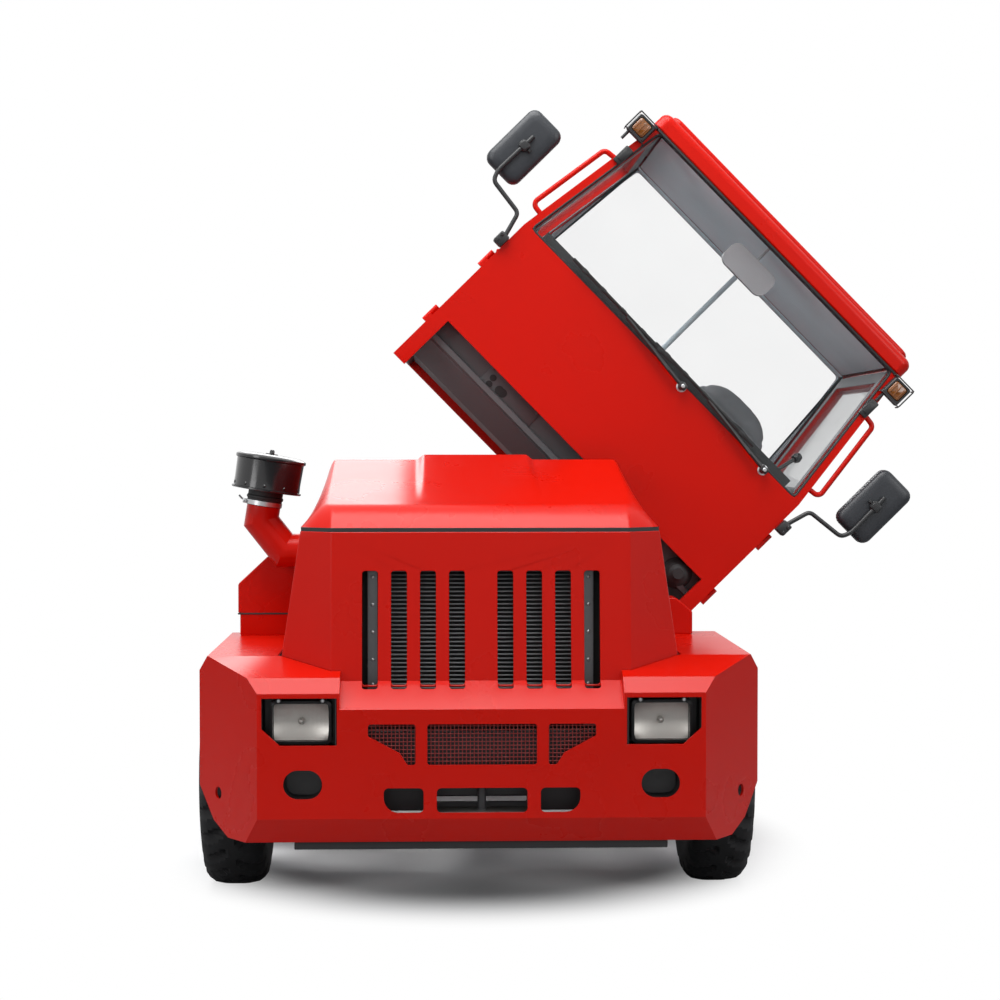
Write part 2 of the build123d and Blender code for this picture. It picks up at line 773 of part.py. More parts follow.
def grille_fascia():
    shell = hood_solid(0) - hood_solid(SHEET)
    shell &= block(-HOOD_X0, HOOD_X0, 0, FASCIA_SPLIT_Y, HOOD_FOOT_Z, HOOD_TOP_Z)
    middle_z = (SLOT_Z0 + SLOT_Z1) / 2
    for x in slot_xs():
        shell -= Pos(x, FASCIA_Y1, middle_z) * Rot(90, 0, 0) * extrude(
            RectangleRounded(SLOT_W, SLOT_Z1 - SLOT_Z0, SLOT_R), amount=80, both=True)
    return shell


def hood_sides():
    """Side panels and rear bulkhead of the engine housing, with the lid's hinge posts."""
    shell = hood_solid(0) - hood_solid(SHEET)
    shell &= block(-HOOD_X0, HOOD_X0, FASCIA_SPLIT_Y, HOOD_REAR_Y, HOOD_FOOT_Z, HOOD_TOP_Z)
    plate_y0 = LID_PIN_Y - LID_POST_T + 2
    plate_y1 = LID_PIN_Y + LID_POST_T
    top = LID_PIN_Z - LID_PIN_D
    for x in (-LID_HINGE_X, LID_HINGE_X):
        x0 = x - LID_HINGE_W
        post = block(x0, x + LID_HINGE_W, plate_y0, plate_y1, HOOD_TOP_Z - LID_POST_DROP, top)
        post += block(x0, x + LID_HINGE_W, HOOD_REAR_Y, plate_y0, HOOD_TOP_Z - LID_POST_DROP, HOOD_TOP_Z)
        post += block(x0, x - FIT, plate_y0, plate_y1, top, LID_PIN_Z)
        post += rod((x0, LID_PIN_Y, LID_PIN_Z), (x - FIT, LID_PIN_Y, LID_PIN_Z), LID_PIN_D)
        shell += post
    return shell


def hood_seal():
    """Rubber strip round the top of the engine housing."""
    top = polygon(hood_outline(HOOD_TOP_Z))
    outer = offset(top, -2, kind=Kind.INTERSECTION)
    inner = offset(top, -2 - SEAL_W, kind=Kind.INTERSECTION)
    return extrude(Pos(0, 0, HOOD_TOP_Z) * (outer - inner), amount=SEAL_H - FIT)


def lid_solid(inset):
    """The lid's outer form or, set in, its hollow: sloping sides, raked nose and round shoulders."""
    def section(y):
        top = lid_top_z(y) - inset
        points = mirrored([(HOOD_X1 - inset, LID_FOOT_Z), (LID_TOP_X - inset, top)])
        plane = Plane((0, y, 0), x_dir=(1, 0, 0), z_dir=(0, -1, 0))
        face = plane * polygon(points)
        return fillet(face.vertices().group_by(Axis.Z)[-1], LID_SHOULDER_R - inset)

    rear = HOOD_REAR_Y - inset
    nose = FASCIA_Y1 + LID_NOSE_IN + inset
    corner = HOOD_CORNER_Y1 + LID_NOSE_IN + inset
    form = loft([section(FASCIA_Y1), section(rear)], ruled=True)
    plan = mirrored([(FASCIA_X, nose), (HOOD_X1, corner), (HOOD_X1, rear)])
    form &= prism_xy(plan, LID_FOOT_Z, LID_REAR_Z + 1)
    rake = (LID_NOSE_Y - FASCIA_Y1 - LID_NOSE_IN) / (LID_NOSE_Z - LID_FOOT_Z)
    rise = LID_REAR_Z - LID_FOOT_Z + 1
    side = [
        (nose, LID_FOOT_Z), (nose + rise * rake, LID_FOOT_Z + rise),
        (HOOD_REAR_Y, LID_FOOT_Z + rise), (HOOD_REAR_Y, LID_FOOT_Z)]
    return form & prism_yz(side, -HOOD_X1, HOOD_X1)


def hood_lid():
    lid = lid_solid(0) - lid_solid(LID_T)
    bulge = [
        (BULGE_Y0, lid_top_z(BULGE_Y0)), (HOOD_REAR_Y, lid_top_z(HOOD_REAR_Y) + BULGE_H),
        (HOOD_REAR_Y, lid_top_z(HOOD_REAR_Y) - LID_T / 2), (BULGE_Y0, lid_top_z(BULGE_Y0) - LID_T / 2),
    ]
    lid += prism_yz(bulge, -BULGE_X, BULGE_X)
    for x in (-LID_HINGE_X, LID_HINGE_X):
        x0 = x + FIT
        x1 = x + LID_HINGE_W
        lid += block(x0, x1, HOOD_REAR_Y - LID_T, LID_PIN_Y, LID_PIN_Z - LID_POST_T, LID_PIN_Z + LID_POST_T)
        lid += rod((x0, LID_PIN_Y, LID_PIN_Z), (x1, LID_PIN_Y, LID_PIN_Z), LID_PIN_D)
    return lid


def radiator():
    """Core with header tanks, its steel side frames and its feet on the frame rails."""
    x = RADIATOR_X
    core = block(-x, x, RADIATOR_Y0, RADIATOR_Y1, RADIATOR_Z0, RADIATOR_Z1)
    for z in (RADIATOR_Z0, RADIATOR_Z1 - RADIATOR_TANK_H):
        core += block(
            -x, x, RADIATOR_Y0 - RADIATOR_TANK_OUT, RADIATOR_Y1 + RADIATOR_TANK_OUT, z, z + RADIATOR_TANK_H)
    y0 = RADIATOR_Y0 - RADIATOR_FRAME_OUT
    for side in (-1, 1):
        core += block(side * x, side * (x + RADIATOR_FRAME_W), y0, RADIATOR_Y1, RADIATOR_Z0, RADIATOR_Z1)
        core += block(side * x, side * RADIATOR_FOOT_X, y0, RADIATOR_Y1, RAIL_Z1, RADIATOR_Z0)
    return core


def side_boxes():
    """Filter box with an overhanging lid on the right, low locker on the left."""
    x = -BOX_RIGHT_X
    right = prism_xz(
        [(-BOX_IN_X, FENDER_Z), (x + BOX_LID_OUT, FENDER_Z), (x + BOX_LID_OUT, BOX_SEAM_Z), (x, BOX_SEAM_Z),
         (x, BOX_RIGHT_EDGE_Z), (-BOX_RIGHT_TOP_X, BOX_RIGHT_Z), (-BOX_IN_X, BOX_RIGHT_Z)],
        BOX_Y0, FENDER_REAR_Y)
    left = prism_xz(
        [(BOX_IN_X, FENDER_Z), (BOX_LEFT_X, FENDER_Z), (BOX_LEFT_X, BOX_LEFT_Z - BOX_LEFT_BEVEL_Z),
         (BOX_LEFT_X - BOX_LEFT_BEVEL_X, BOX_LEFT_Z), (BOX_IN_X, BOX_LEFT_Z)],
        BOX_Y0, FENDER_REAR_Y)
    behind = HOOD_X1 - BOX_REVEAL
    keep_out = hood_solid(0) + block(-behind, behind, HOOD_REAR_Y, FENDER_REAR_Y, 0, BOX_BACK_Z)
    return Compound([right - keep_out, left - keep_out])


def intake_elbow():
    """Mitred pipe from the hood's side up to the pre-cleaner."""
    lean = math.radians(DRUM_LEAN)
    down = DRUM_H / 2 + NECK_L
    neck = (-DRUM_X - math.sin(lean) * down, INTAKE_Y, DRUM_Z - math.cos(lean) * down)
    knee = (neck[0] - math.sin(lean) * ELBOW_L, INTAKE_Y, neck[2] - math.cos(lean) * ELBOW_L)
    turn = (-INTAKE_TURN_X, INTAKE_Y, INTAKE_ROOT_Z)
    root = (-HOOD_X1, INTAKE_Y, INTAKE_ROOT_Z)
    path = Polyline(neck, knee, turn, root)
    pipe = sweep((path ^ 0) * Circle(INTAKE_D / 2), path=path, transition=Transition.RIGHT)
    return pipe - hood_solid(0)


def pre_cleaner():
    """Black drum with a lid, on a rubber neck with its clamp band."""
    foot = -DRUM_H / 2
    outer = DRUM_D / 2
    neck = INTAKE_D / 2 + 2
    outline = [
        (0, foot - NECK_L), (neck, foot - NECK_L), (neck, foot), (outer - DRUM_EDGE / 2, foot),
        (outer, foot + DRUM_EDGE / 2), (outer, -foot - DRUM_EDGE), (outer - DRUM_EDGE, -foot), (0, -foot),
    ]
    drum = revolve(Plane.XZ * polygon(outline), axis=Axis.Z)
    return Pos(-DRUM_X, INTAKE_Y, DRUM_Z) * Rot(0, DRUM_LEAN, 0) * drum


def skid_plate():
    y0 = SKID_PLAN[0][1]
    y1 = SKID_PLAN[-1][1]
    top = BUMPER_Z0
    slope = [(y0, top - SKID_T), (y1, top - SKID_T - SKID_DROP), (y1, top - SKID_DROP), (y0, top)]
    width = SKID_PLAN[0][0]
    plate = prism_yz(slope, -width, width) & prism_xy(mirrored(SKID_PLAN), 0, BUMPER_Z0)
    foot = top - SKID_T - SKID_DROP / 4
    hanger = block(RAIL_OUT_X - SKID_T, RAIL_OUT_X, SKID_HANGER_Y0, SKID_HANGER_Y1, foot, RAIL_Z0)
    return plate + hanger + across(hanger)


def front_tow_jaw():
    """Tow pocket behind the middle slot, with its pin."""
    x = TOW_JAW_X
    roof = TOW_JAW_Z1 - SKID_T
    jaw = block(-x, x, SHEET, TOW_JAW_Y1, roof, TOW_JAW_Z1)
    jaw += block(-x, x, SHEET, TOW_JAW_Y1, TOW_JAW_Z0, TOW_JAW_Z0 + SKID_T)
    for side in (-1, 1):
        jaw += block(side * (x - SKID_T), side * x, SHEET, TOW_JAW_Y1, TOW_JAW_Z0, TOW_JAW_Z1)
    liner = block(-LINER_X, LINER_X, TOW_JAW_Y1, TOW_JAW_Y1 + LINER_T, TOW_JAW_Z0, TOW_JAW_Z1)
    liner -= block(-SLIT_X, SLIT_X, TOW_JAW_Y1 - 1, TOW_JAW_Y1 + LINER_T + 1, SLIT_Z0, SLIT_Z1)
    return jaw + liner + rod((0, TOW_PIN_Y, TOW_JAW_Z0), (0, TOW_PIN_Y, TOW_JAW_Z1), TOW_PIN_D)


def engine_block():
    """Engine with sump, bell housing and gearbox, on cross feet between the rails."""
    engine = block(-ENGINE_X, ENGINE_X, ENGINE_Y0, ENGINE_Y1, ENGINE_Z0, ENGINE_Z1)
    sump_x = ENGINE_X - SUMP_STEP
    engine += block(-sump_x, sump_x, ENGINE_Y0 + 20, ENGINE_Y1 - 20, ENGINE_Z0 - SUMP_DEPTH, ENGINE_Z0)
    engine += block(-BELL_X, BELL_X, ENGINE_Y1, BELL_Y1, BELL_Z0, BELL_Z1)
    engine += block(-GEARBOX_X, GEARBOX_X, BELL_Y1, GEARBOX_Y1, GEARBOX_Z0, GEARBOX_Z1)
    for y in ENGINE_FOOT_YS:
        z0 = ENGINE_Z0 + 20
        engine += block(-RAIL_IN_X, RAIL_IN_X, y, y + ENGINE_FOOT_W, z0, z0 + ENGINE_FOOT_H)
    return engine


def propeller_shaft():
    """Shaft with a flange at the gearbox and one at the rear axle's nose."""
    front_y = GEARBOX_Y1
    rear_y = REAR_AXLE_Y - DIFF_NOSE_L
    flange = SHAFT_FLANGE_T
    shaft = rod((0, front_y + flange / 2, SHAFT_Z), (0, rear_y - flange / 2, REAR_HUB_Z), SHAFT_D)
    shaft += rod((0, front_y, SHAFT_Z), (0, front_y + flange, SHAFT_Z), SHAFT_FLANGE_D)
    return shaft + rod((0, rear_y - flange, REAR_HUB_Z), (0, rear_y, REAR_HUB_Z), SHAFT_FLANGE_D)


def front_axle():
    """Dropped beam with a kingpin boss at each end and spring seats up to the rails."""
    low = FRONT_HUB_Z - KINGPIN_BOSS_H / 2
    high = FRONT_HUB_Z + KINGPIN_BOSS_H / 2
    outline = mirrored([
        (AXLE_DROP_X, low - AXLE_DROP), (AXLE_FLAT_X, low), (KINGPIN_X, low),
        (KINGPIN_X, high), (AXLE_FLAT_X, high), (AXLE_DROP_X, high - AXLE_TOP_DROP)])
    beam = prism_xz(outline, FRONT_AXLE_Y - AXLE_WEB / 2, FRONT_AXLE_Y + AXLE_WEB / 2)
    for side in (-1, 1):
        x = side * KINGPIN_X
        beam += rod((x, FRONT_AXLE_Y, low), (x, FRONT_AXLE_Y, high), KINGPIN_BOSS_D)
        beam += spring_seat(side, FRONT_AXLE_Y, high - SPRING_SEAT_DEPTH)
    return beam


def spring_seat(side, y, foot_z):
    """A block between an axle and the frame rail above it."""
    x = side * (RAIL_IN_X + RAIL_OUT_X) / 2
    half_w = SPRING_SEAT_W / 2
    half_l = SPRING_SEAT_LENGTH / 2
    return block(x - half_w, x + half_w, y - half_l, y + half_l, foot_z, RAIL_Z0)


def knuckle():
    """Fork round the kingpin boss, spindle for the wheel and arm for the tie rod."""
    low = FRONT_HUB_Z - KINGPIN_BOSS_H / 2 - FORK_GAP
    high = FRONT_HUB_Z + KINGPIN_BOSS_H / 2 + FORK_GAP
    web_x = KINGPIN_X + KINGPIN_BOSS_D / 2 + KNUCKLE_ROOM
    y0 = FRONT_AXLE_Y - KNUCKLE_W / 2
    y1 = FRONT_AXLE_Y + KNUCKLE_W / 2
    body = block(web_x, web_x + KNUCKLE_WEB_T, y0, y1, low - FORK_T, high + FORK_T)
    for z0 in (low - FORK_T, high):
        body += rod((KINGPIN_X, FRONT_AXLE_Y, z0), (KINGPIN_X, FRONT_AXLE_Y, z0 + FORK_T), KNUCKLE_W)
        body += block(KINGPIN_X, web_x + 1, y0, y1, z0, z0 + FORK_T)
    body += rod((web_x, FRONT_AXLE_Y, FRONT_HUB_Z), (SPINDLE_TIP_X, FRONT_AXLE_Y, FRONT_HUB_Z), SPINDLE_D)
    arm_x = KINGPIN_X - TIE_ARM_W / 2
    tip_y = FRONT_AXLE_Y + TIE_ARM_L
    body += block(arm_x, arm_x + TIE_ARM_W, FRONT_AXLE_Y, tip_y, low - FORK_T, low)
    return body + rod((KINGPIN_X, tip_y, low - FORK_T), (KINGPIN_X, tip_y, low), TIE_ARM_W)


def tie_rod():
    """Bar between the steering arms, its ends on top of the arms' eyes."""
    arm_top = FRONT_HUB_Z - KINGPIN_BOSS_H / 2 - FORK_GAP
    y = FRONT_AXLE_Y + TIE_ARM_L
    z = arm_top + FIT + TIE_ROD_D / 2
    return rod((-KINGPIN_X - 20, y, z), (KINGPIN_X + 20, y, z), TIE_ROD_D)


def tyre(x, y, diameter, width):
    """A bias-ply tyre's section turned round its axle."""
    outer = diameter / 2
    bead = RIM_D / 2
    half = width / 2
    outline = mirrored([
        (RIM_W / 2 - 8, bead), (half - 14, bead + 22), (half, (outer + bead) / 2 + 10),
        (half - 6, outer - 34), (half - 30, outer - 8), (half - 70, outer),
    ])
    ring = revolve(polygon(outline), axis=Axis.X)
    return Pos(x, y, outer) * ring


def rim(x, y, hub_z):
    """Rim barrel with flanges, dished disc and hub, bored for its spindle."""
    bead = RIM_D / 2 - FIT
    inner = bead - RIM_WALL
    half = RIM_W / 2
    hub = HUB_D / 2
    face = half - DISC_IN
    outline = [
        (-half, bead), (half, bead), (half, inner), (face, inner),
        (face - DISH, DISC_R), (face, hub), (half + HUB_OUT, hub), (half + HUB_OUT, 0),
        (half - HUB_IN, 0), (half - HUB_IN, hub), (face - DISH - DISC_T, DISC_R),
        (face - DISH, inner), (-half, inner),
    ]
    wheel = revolve(polygon(outline), axis=Axis.X)
    wheel = wheel if x > 0 else mirror(wheel, about=Plane.YZ)
    place = Pos(x, y, hub_z)
    side = 1 if x > 0 else -1
    bore_tip = side * (SPINDLE_TIP_X + FIT)
    bore = rod((0, y, hub_z), (bore_tip, y, hub_z), SPINDLE_D + 2 * FIT)
    return place * wheel - bore


def rear_axle():
    """Axle tube with the differential, spindles and spring seats up to the rails."""
    y = REAR_AXLE_Y
    z = REAR_HUB_Z
    axle = rod((-REAR_TUBE_X, y, z), (REAR_TUBE_X, y, z), REAR_TUBE_D)
    axle += rod((-SPINDLE_TIP_X, y, z), (SPINDLE_TIP_X, y, z), SPINDLE_D)
    axle += Pos(0, y, z) * Sphere(DIFF_R)
    axle += rod((0, y - DIFF_NOSE_L, z), (0, y, z), DIFF_NOSE_D)
    for side in (-1, 1):
        axle += spring_seat(side, y, z)
    return axle


def side_tanks():
    """Fuel tank on the left rail and battery box on the right one."""
    tank = block(RAIL_OUT_X, TANK_X, TANK_Y0, TANK_Y1, TANK_Z0, TANK_Z1)
    box = across(tank)
    tank = fillet(tank.edges().filter_by(Axis.Y), TANK_R)
    return Compound([tank, chamfer(box.edges().filter_by(Axis.Z), BATTERY_BOX_BEVEL)])


def steps():
    """Two treads between side plates on each tank."""
    y0 = TANK_Y0 + STEP_INSET
    y1 = TANK_Y1 - STEP_INSET
    flight = Part()
    for z in STEP_ZS:
        flight += block(TANK_X, STEP_X, y0, y1, z, z + STEP_T)
    for y in (y0, y1 - STEP_T):
        flight += block(TANK_X, STEP_X, y, y + STEP_T, STEP_ZS[0], STEP_ZS[-1] + STEP_T)
    return both_sides(flight)


def rear_body():
    """Ballast block with deck, fender flanges and full width corner boxes."""
    body = block(-REAR_CORE_X, REAR_CORE_X, REAR_BODY_Y0, REAR_BODY_Y1, RAIL_Z1, DECK_Z)
    body += block(-REAR_BODY_X, REAR_BODY_X, REAR_BODY_Y0, REAR_BODY_Y1, DECK_Z - DECK_T, DECK_Z)
    for side in (-1, 1):
        edge = side * REAR_BODY_X
        body += block(edge - side * DECK_T, edge, REAR_BODY_Y0, REAR_BODY_Y1, DECK_Z - DECK_LIP, DECK_Z)
        body += block(side * RAIL_OUT_X, edge, REAR_CORNER_Y, REAR_BODY_Y1, REAR_CORNER_Z, DECK_Z)
    body += block(-RAIL_OUT_X, RAIL_OUT_X, RAIL_Y1, REAR_BODY_Y1, REAR_PLATE_Z, RAIL_Z1)
    edges = body.edges().filter_by(Axis.Z).group_by(Axis.Y)[-1]
    outer = [e for e in edges if abs(e.center().X) > REAR_BODY_X - 1]
    return chamfer(outer, REAR_CHAMFER)


def rear_hitch():
    """Three jaw plates with an open bore for the tow bar's pin."""
    y1 = REAR_BODY_Y1 + HITCH_PLATE_T
    hitch = block(-HITCH_PLATE_X, HITCH_PLATE_X, REAR_BODY_Y1, y1, HITCH_PLATE_Z0, HITCH_PLATE_Z1)
    for z in HITCH_JAW_ZS:
        hitch += block(-HITCH_JAW_X, HITCH_JAW_X, REAR_BODY_Y1, HITCH_BORE_Y, z, z + HITCH_JAW_T)
        hitch += Pos(0, HITCH_BORE_Y, z + HITCH_JAW_T / 2) * Cylinder(HITCH_NOSE_R, HITCH_JAW_T)
    return hitch - rod((0, HITCH_BORE_Y, REAR_PLATE_Z), (0, HITCH_BORE_Y, RAIL_Z1), HITCH_BORE_D)


def tail_lamps():
    lamp = block(TAIL_X0, TAIL_X1, REAR_BODY_Y1, REAR_BODY_Y1 + TAIL_DEPTH, TAIL_Z0, TAIL_Z1)
    return both_sides(fillet(lamp.edges().filter_by(Axis.Y), TAIL_R))


# Cab, built lowered

def wall_outline(foot):
    return mirrored([(CAB_X, foot), (CAB_X, BELT_Z), (ROOF_X, ROOF_SEAM_Z)])


def glass_outline(low, high, inset, shrink=0):
    return mirrored([
        (pillar_x(low) - inset - shrink, low + shrink), (pillar_x(high) - inset - shrink, high - shrink)])


def hinge_leaf(side, z):
    """The fixed half of a door hinge on the front wall's edge."""
    x = side * DOOR_PIN_X
    y = CAB_FRONT_Y + CAB_WALL + DOOR_GAP
    leaf = block(side * CAB_X, x, CAB_FRONT_Y + HINGE_LEAF_Y, y, z, z + DOOR_HINGE_H)
    return leaf + rod((x, y, z), (x, y, z + DOOR_HINGE_H), DOOR_PIN_D)


def cab_front():
    wall = prism_xz(wall_outline(CAB_FOOT_Z), CAB_FRONT_Y, CAB_FRONT_Y + CAB_WALL)
    gap_x = CAB_X - CAB_LEG_W
    wall -= block(-gap_x, gap_x, CAB_FRONT_Y - 1, CAB_FRONT_Y + CAB_WALL + 1, CAB_FOOT_Z - 1, CUTOUT_Z)
    screen = glass_outline(SCREEN_Z0, SCREEN_Z1, SCREEN_INSET)
    wall -= prism_xz(screen, CAB_FRONT_Y - 1, CAB_FRONT_Y + CAB_WALL + 1)
    for side in (-1, 1):
        for z in DOOR_HINGE_ZS:
            wall += hinge_leaf(side, z)
    return wall


def cab_rear():
    y0 = CAB_REAR_Y - CAB_WALL
    wall = prism_xz(wall_outline(CAB_SILL_Z), y0, CAB_REAR_Y)
    opening = prism_xz(glass_outline(REAR_GLASS_Z0, REAR_GLASS_Z1, REAR_GLASS_INSET), y0 - 1, CAB_REAR_Y + 1)
    opening -= block(-MULLION_W / 2, MULLION_W / 2, y0 - 2, CAB_REAR_Y + 2, REAR_GLASS_Z0, REAR_GLASS_Z1)
    return wall - opening


def windscreen():
    y0 = CAB_FRONT_Y + (CAB_WALL - GLASS_T) / 2
    return prism_xz(glass_outline(SCREEN_Z0, SCREEN_Z1, SCREEN_INSET, FIT), y0, y0 + GLASS_T)


def rear_glass():
    y0 = CAB_REAR_Y - (CAB_WALL + GLASS_T) / 2
    panes = prism_xz(glass_outline(REAR_GLASS_Z0, REAR_GLASS_Z1, REAR_GLASS_INSET, FIT), y0, y0 + GLASS_T)
    half = MULLION_W / 2 + FIT
    return panes - block(-half, half, y0 - 1, y0 + GLASS_T + 1, REAR_GLASS_Z0, REAR_GLASS_Z1)


def cab_sills():
    """Side members under the doors, the left one with the cab's hinge eyes."""
    y0 = CAB_FRONT_Y + CAB_WALL
    y1 = CAB_REAR_Y - CAB_WALL
    right = block(-CAB_X, -CAB_X + SILL_W, y0, y1, CAB_SILL_Z, CAB_SILL_Z + SILL_H)
    left = across(right)
    half = HINGE_EYE_W / 2
    neck = LUG_FOOT / 2
    for y in HINGE_YS:
        left += block(PIVOT_X - neck, PIVOT_X + neck, y - half, y + half, PIVOT_Z, CAB_SILL_Z + 1)
        left += rod((PIVOT_X, y - half, PIVOT_Z), (PIVOT_X, y + half, PIVOT_Z), HINGE_EYE_D)
        left -= rod(
            (PIVOT_X, y - HINGE_EYE_W, PIVOT_Z), (PIVOT_X, y + HINGE_EYE_W, PIVOT_Z), HINGE_PIN_D + 2 * FIT)
    return Compound([left, right])


def cab_roof():
    """Roof tray with round corners and a slightly raised crown."""
    x = ROOF_X + ROOF_OVERHANG
    y0 = CAB_FRONT_Y - ROOF_OVERHANG
    y1 = CAB_REAR_Y + ROOF_OVERHANG
    roof = block(-x, x, y0, y1, ROOF_SEAM_Z, ROOF_BAND_Z)
    roof = fillet(roof.edges().filter_by(Axis.Z), ROOF_CORNER_R)
    roof = fillet(roof.faces().sort_by(Axis.Z)[-1].edges(), ROOF_EDGE_R)
    x -= ROOF_CROWN_IN
    crown = block(-x, x, y0 + ROOF_CROWN_IN, y1 - ROOF_CROWN_IN, ROOF_BAND_Z - ROOF_CROWN_R, ROOF_TOP_Z)
    crown = fillet(crown.edges().filter_by(Axis.Z), ROOF_CORNER_R)
    crown = fillet(crown.faces().sort_by(Axis.Z)[-1].edges(), ROOF_CROWN_R)
    inner = ROOF_X - CAB_WALL
    hollow = block(
        -inner, inner, CAB_FRONT_Y + CAB_WALL, CAB_REAR_Y - CAB_WALL, ROOF_SEAM_Z - 1, ROOF_TOP_Z - ROOF_SKIN)
    return roof + crown - hollow


def cab_floor():
    """Floor plate, sloping toe board with a ridge and the fire wall with its cable holes."""
    y0 = CAB_FRONT_Y + CAB_WALL
    y1 = CAB_REAR_Y - CAB_WALL
    x = CAB_X - SILL_W
    wall_y = y0 + FIRE_WALL_BACK
    toe_y = wall_y + TOE_L
    toe_z = FLOOR_Z + TOE_H
    top = CUTOUT_Z + CLOSER_RISE
    floor = block(-x, x, toe_y, y1, FLOOR_Z, FLOOR_Z + FLOOR_T)
    toe = [(toe_y, FLOOR_Z), (toe_y, FLOOR_Z + FLOOR_T), (wall_y + FLOOR_T, toe_z), (wall_y, toe_z - FLOOR_T)]
    floor += prism_yz(toe, -x, x)
    floor += block(-x, x, wall_y, wall_y + FLOOR_T, toe_z - FLOOR_T, top + FLOOR_T)
    floor += block(-x, x, wall_y - RIDGE_T, wall_y, toe_z - FLOOR_T / 2, toe_z - FLOOR_T / 2 + RIDGE_H)
    floor += block(-x, x, y0, wall_y, top, top + FLOOR_T)
    holes = [(hole_x, Circle(CABLE_HOLE_D / 2)) for hole_x in CABLE_HOLE_XS]
    holes.append((CABLE_SLOT_X, SlotOverall(CABLE_SLOT_W, CABLE_HOLE_D)))
    for hole_x, form in holes:
        place = Pos(hole_x, wall_y, FLOOR_Z + CABLE_HOLE_RISE) * Rot(90, 0, 0)
        floor -= place * extrude(form, amount=FIRE_WALL_BACK, both=True)
    # clevis for the tilt cylinder's rod
    cheek = ram_clevis_outline(RAM_EYE_X, RAM_EYE_Z, FLOOR_Z)
    for side in (-1, 1):
        y = RAM_Y + side * (RAM_EYE_W / 2 + LUG_GAP + LUG_T / 2)
        floor += prism_xz(cheek, y - LUG_T / 2, y + LUG_T / 2)
    return floor


def column_point(place):
    """A point of the steering column, from its distance behind the front wall and its height."""
    return Vector(COLUMN_X, CAB_FRONT_Y + CAB_WALL + place[0], place[1])


def dashboard():
    """Moulded panel across the cab under the windscreen, with the steering column."""
    y0 = CAB_FRONT_Y + CAB_WALL
    section = [
        (y0, DASH_Z0), (y0, DASH_Z1), (y0 + DASH_TOP_L, DASH_Z1),
        (y0 + DASH_NOSE_L, DASH_NOSE_Z), (y0 + DASH_FOOT_L, DASH_Z0)]
    column = rod(column_point(COLUMN_START), column_point(COLUMN_END), COLUMN_D)
    return prism_yz(section, -DASH_X, DASH_X) + column


def steering_wheel():
    """Rim, three spokes and hub on the column's end."""
    wheel = Torus(WHEEL_R, WHEEL_RIM_R) + Pos(0, 0, -WHEEL_HUB_DROP) * Cylinder(WHEEL_HUB_R, WHEEL_HUB_H)
    for angle in SPOKE_ANGLES:
        wheel += Rot(0, 0, angle) * Pos(WHEEL_R / 2, 0, 0) * Box(WHEEL_R, SPOKE_W, SPOKE_T)
    end = column_point(COLUMN_END)
    run = (end - column_point(COLUMN_START)).normalized()
    lean = math.degrees(math.atan2(run.Y, run.Z))
    centre = end + run * (WHEEL_HUB_H / 2 + WHEEL_HUB_DROP + FIT)
    return Pos(centre) * Rot(-lean, 0, 0) * wheel


def seat_base():
    half = SEAT_BASE_W / 2
    base = block(SEAT_X - half, SEAT_X + half, SEAT_BASE_Y0, SEAT_BASE_Y1, FLOOR_Z + FLOOR_T, SEAT_Z)
    return fillet(base.edges().filter_by(Axis.Z), SEAT_BASE_R)


def seat_cushion():
    half = CUSHION_W / 2
    pad = block(SEAT_X - half, SEAT_X + half, CUSHION_Y0, CUSHION_Y1, SEAT_Z + FIT, SEAT_Z + CUSHION_H)
    return fillet(pad.edges(), CUSHION_R)


def seat_backrest():
    half = BACKREST_W / 2
    section = [(y, SEAT_Z + FIT) for y in BACKREST_FOOT]
    section += [(y, BACKREST_TOP_Z) for y in reversed(BACKREST_TOP)]
    back = prism_yz(section, SEAT_X - half, SEAT_X + half)
    return fillet(back.edges().filter_by(Axis.Y).group_by(Axis.Z)[-1], BACKREST_R)


def interior_mirror():
    """Mirror on a stalk from the roof."""
    x = INNER_MIRROR_X
    y = INNER_MIRROR_Y
    z = INNER_MIRROR_Z
    stalk = rod((x, y, ROOF_TOP_Z - ROOF_SKIN), (x, y, z), INNER_STALK_D)
    half_w = INNER_MIRROR_W / 2
    half_h = INNER_MIRROR_H / 2
    half_t = INNER_MIRROR_T / 2
    glass = block(x - half_w, x + half_w, y - half_t, y + half_t, z - half_h, z + half_h)
    return stalk + fillet(glass.edges().filter_by(Axis.Y), INNER_MIRROR_R)


def mirror_arms():
    """Bent tubes from clamps on the front corners out to the door mirrors."""
    y = CAB_FRONT_Y - MIRROR_ARM_Y
    arm = bent_tube([(CAB_X + x, y, BELT_Z + z) for x, z in MIRROR_ARM_RUN], MIRROR_ARM_R, MIRROR_ARM_D)
    arm += block(
        CAB_X, CAB_X + MIRROR_CLAMP_W, y - MIRROR_ARM_Y, CAB_FRONT_Y + CAB_WALL - 2,
        BELT_Z + MIRROR_CLAMP_Z0, BELT_Z + MIRROR_CLAMP_Z1)
    return both_sides(arm)


def mirror_heads():
    """Housings of the door mirrors, hung on the arms' ends."""
    x = CAB_X + MIRROR_OUT
    z = BELT_Z + MIRROR_RISE
    y0 = CAB_FRONT_Y - MIRROR_ARM_Y + MIRROR_ARM_D / 2 + FIT
    half_w = MIRROR_W / 2
    half_h = MIRROR_H / 2
    head = block(x - half_w, x + half_w, y0, y0 + MIRROR_T, z - half_h, z + half_h)
    head = fillet(head.edges().filter_by(Axis.Y), MIRROR_R)
    return both_sides(fillet(head.faces().sort_by(Axis.Y)[-1].edges(), MIRROR_BACK_R))


def front_wall_envelope():
    return prism_xz(wall_outline(CAB_FOOT_Z), CAB_FRONT_Y, CAB_FRONT_Y + CAB_WALL)


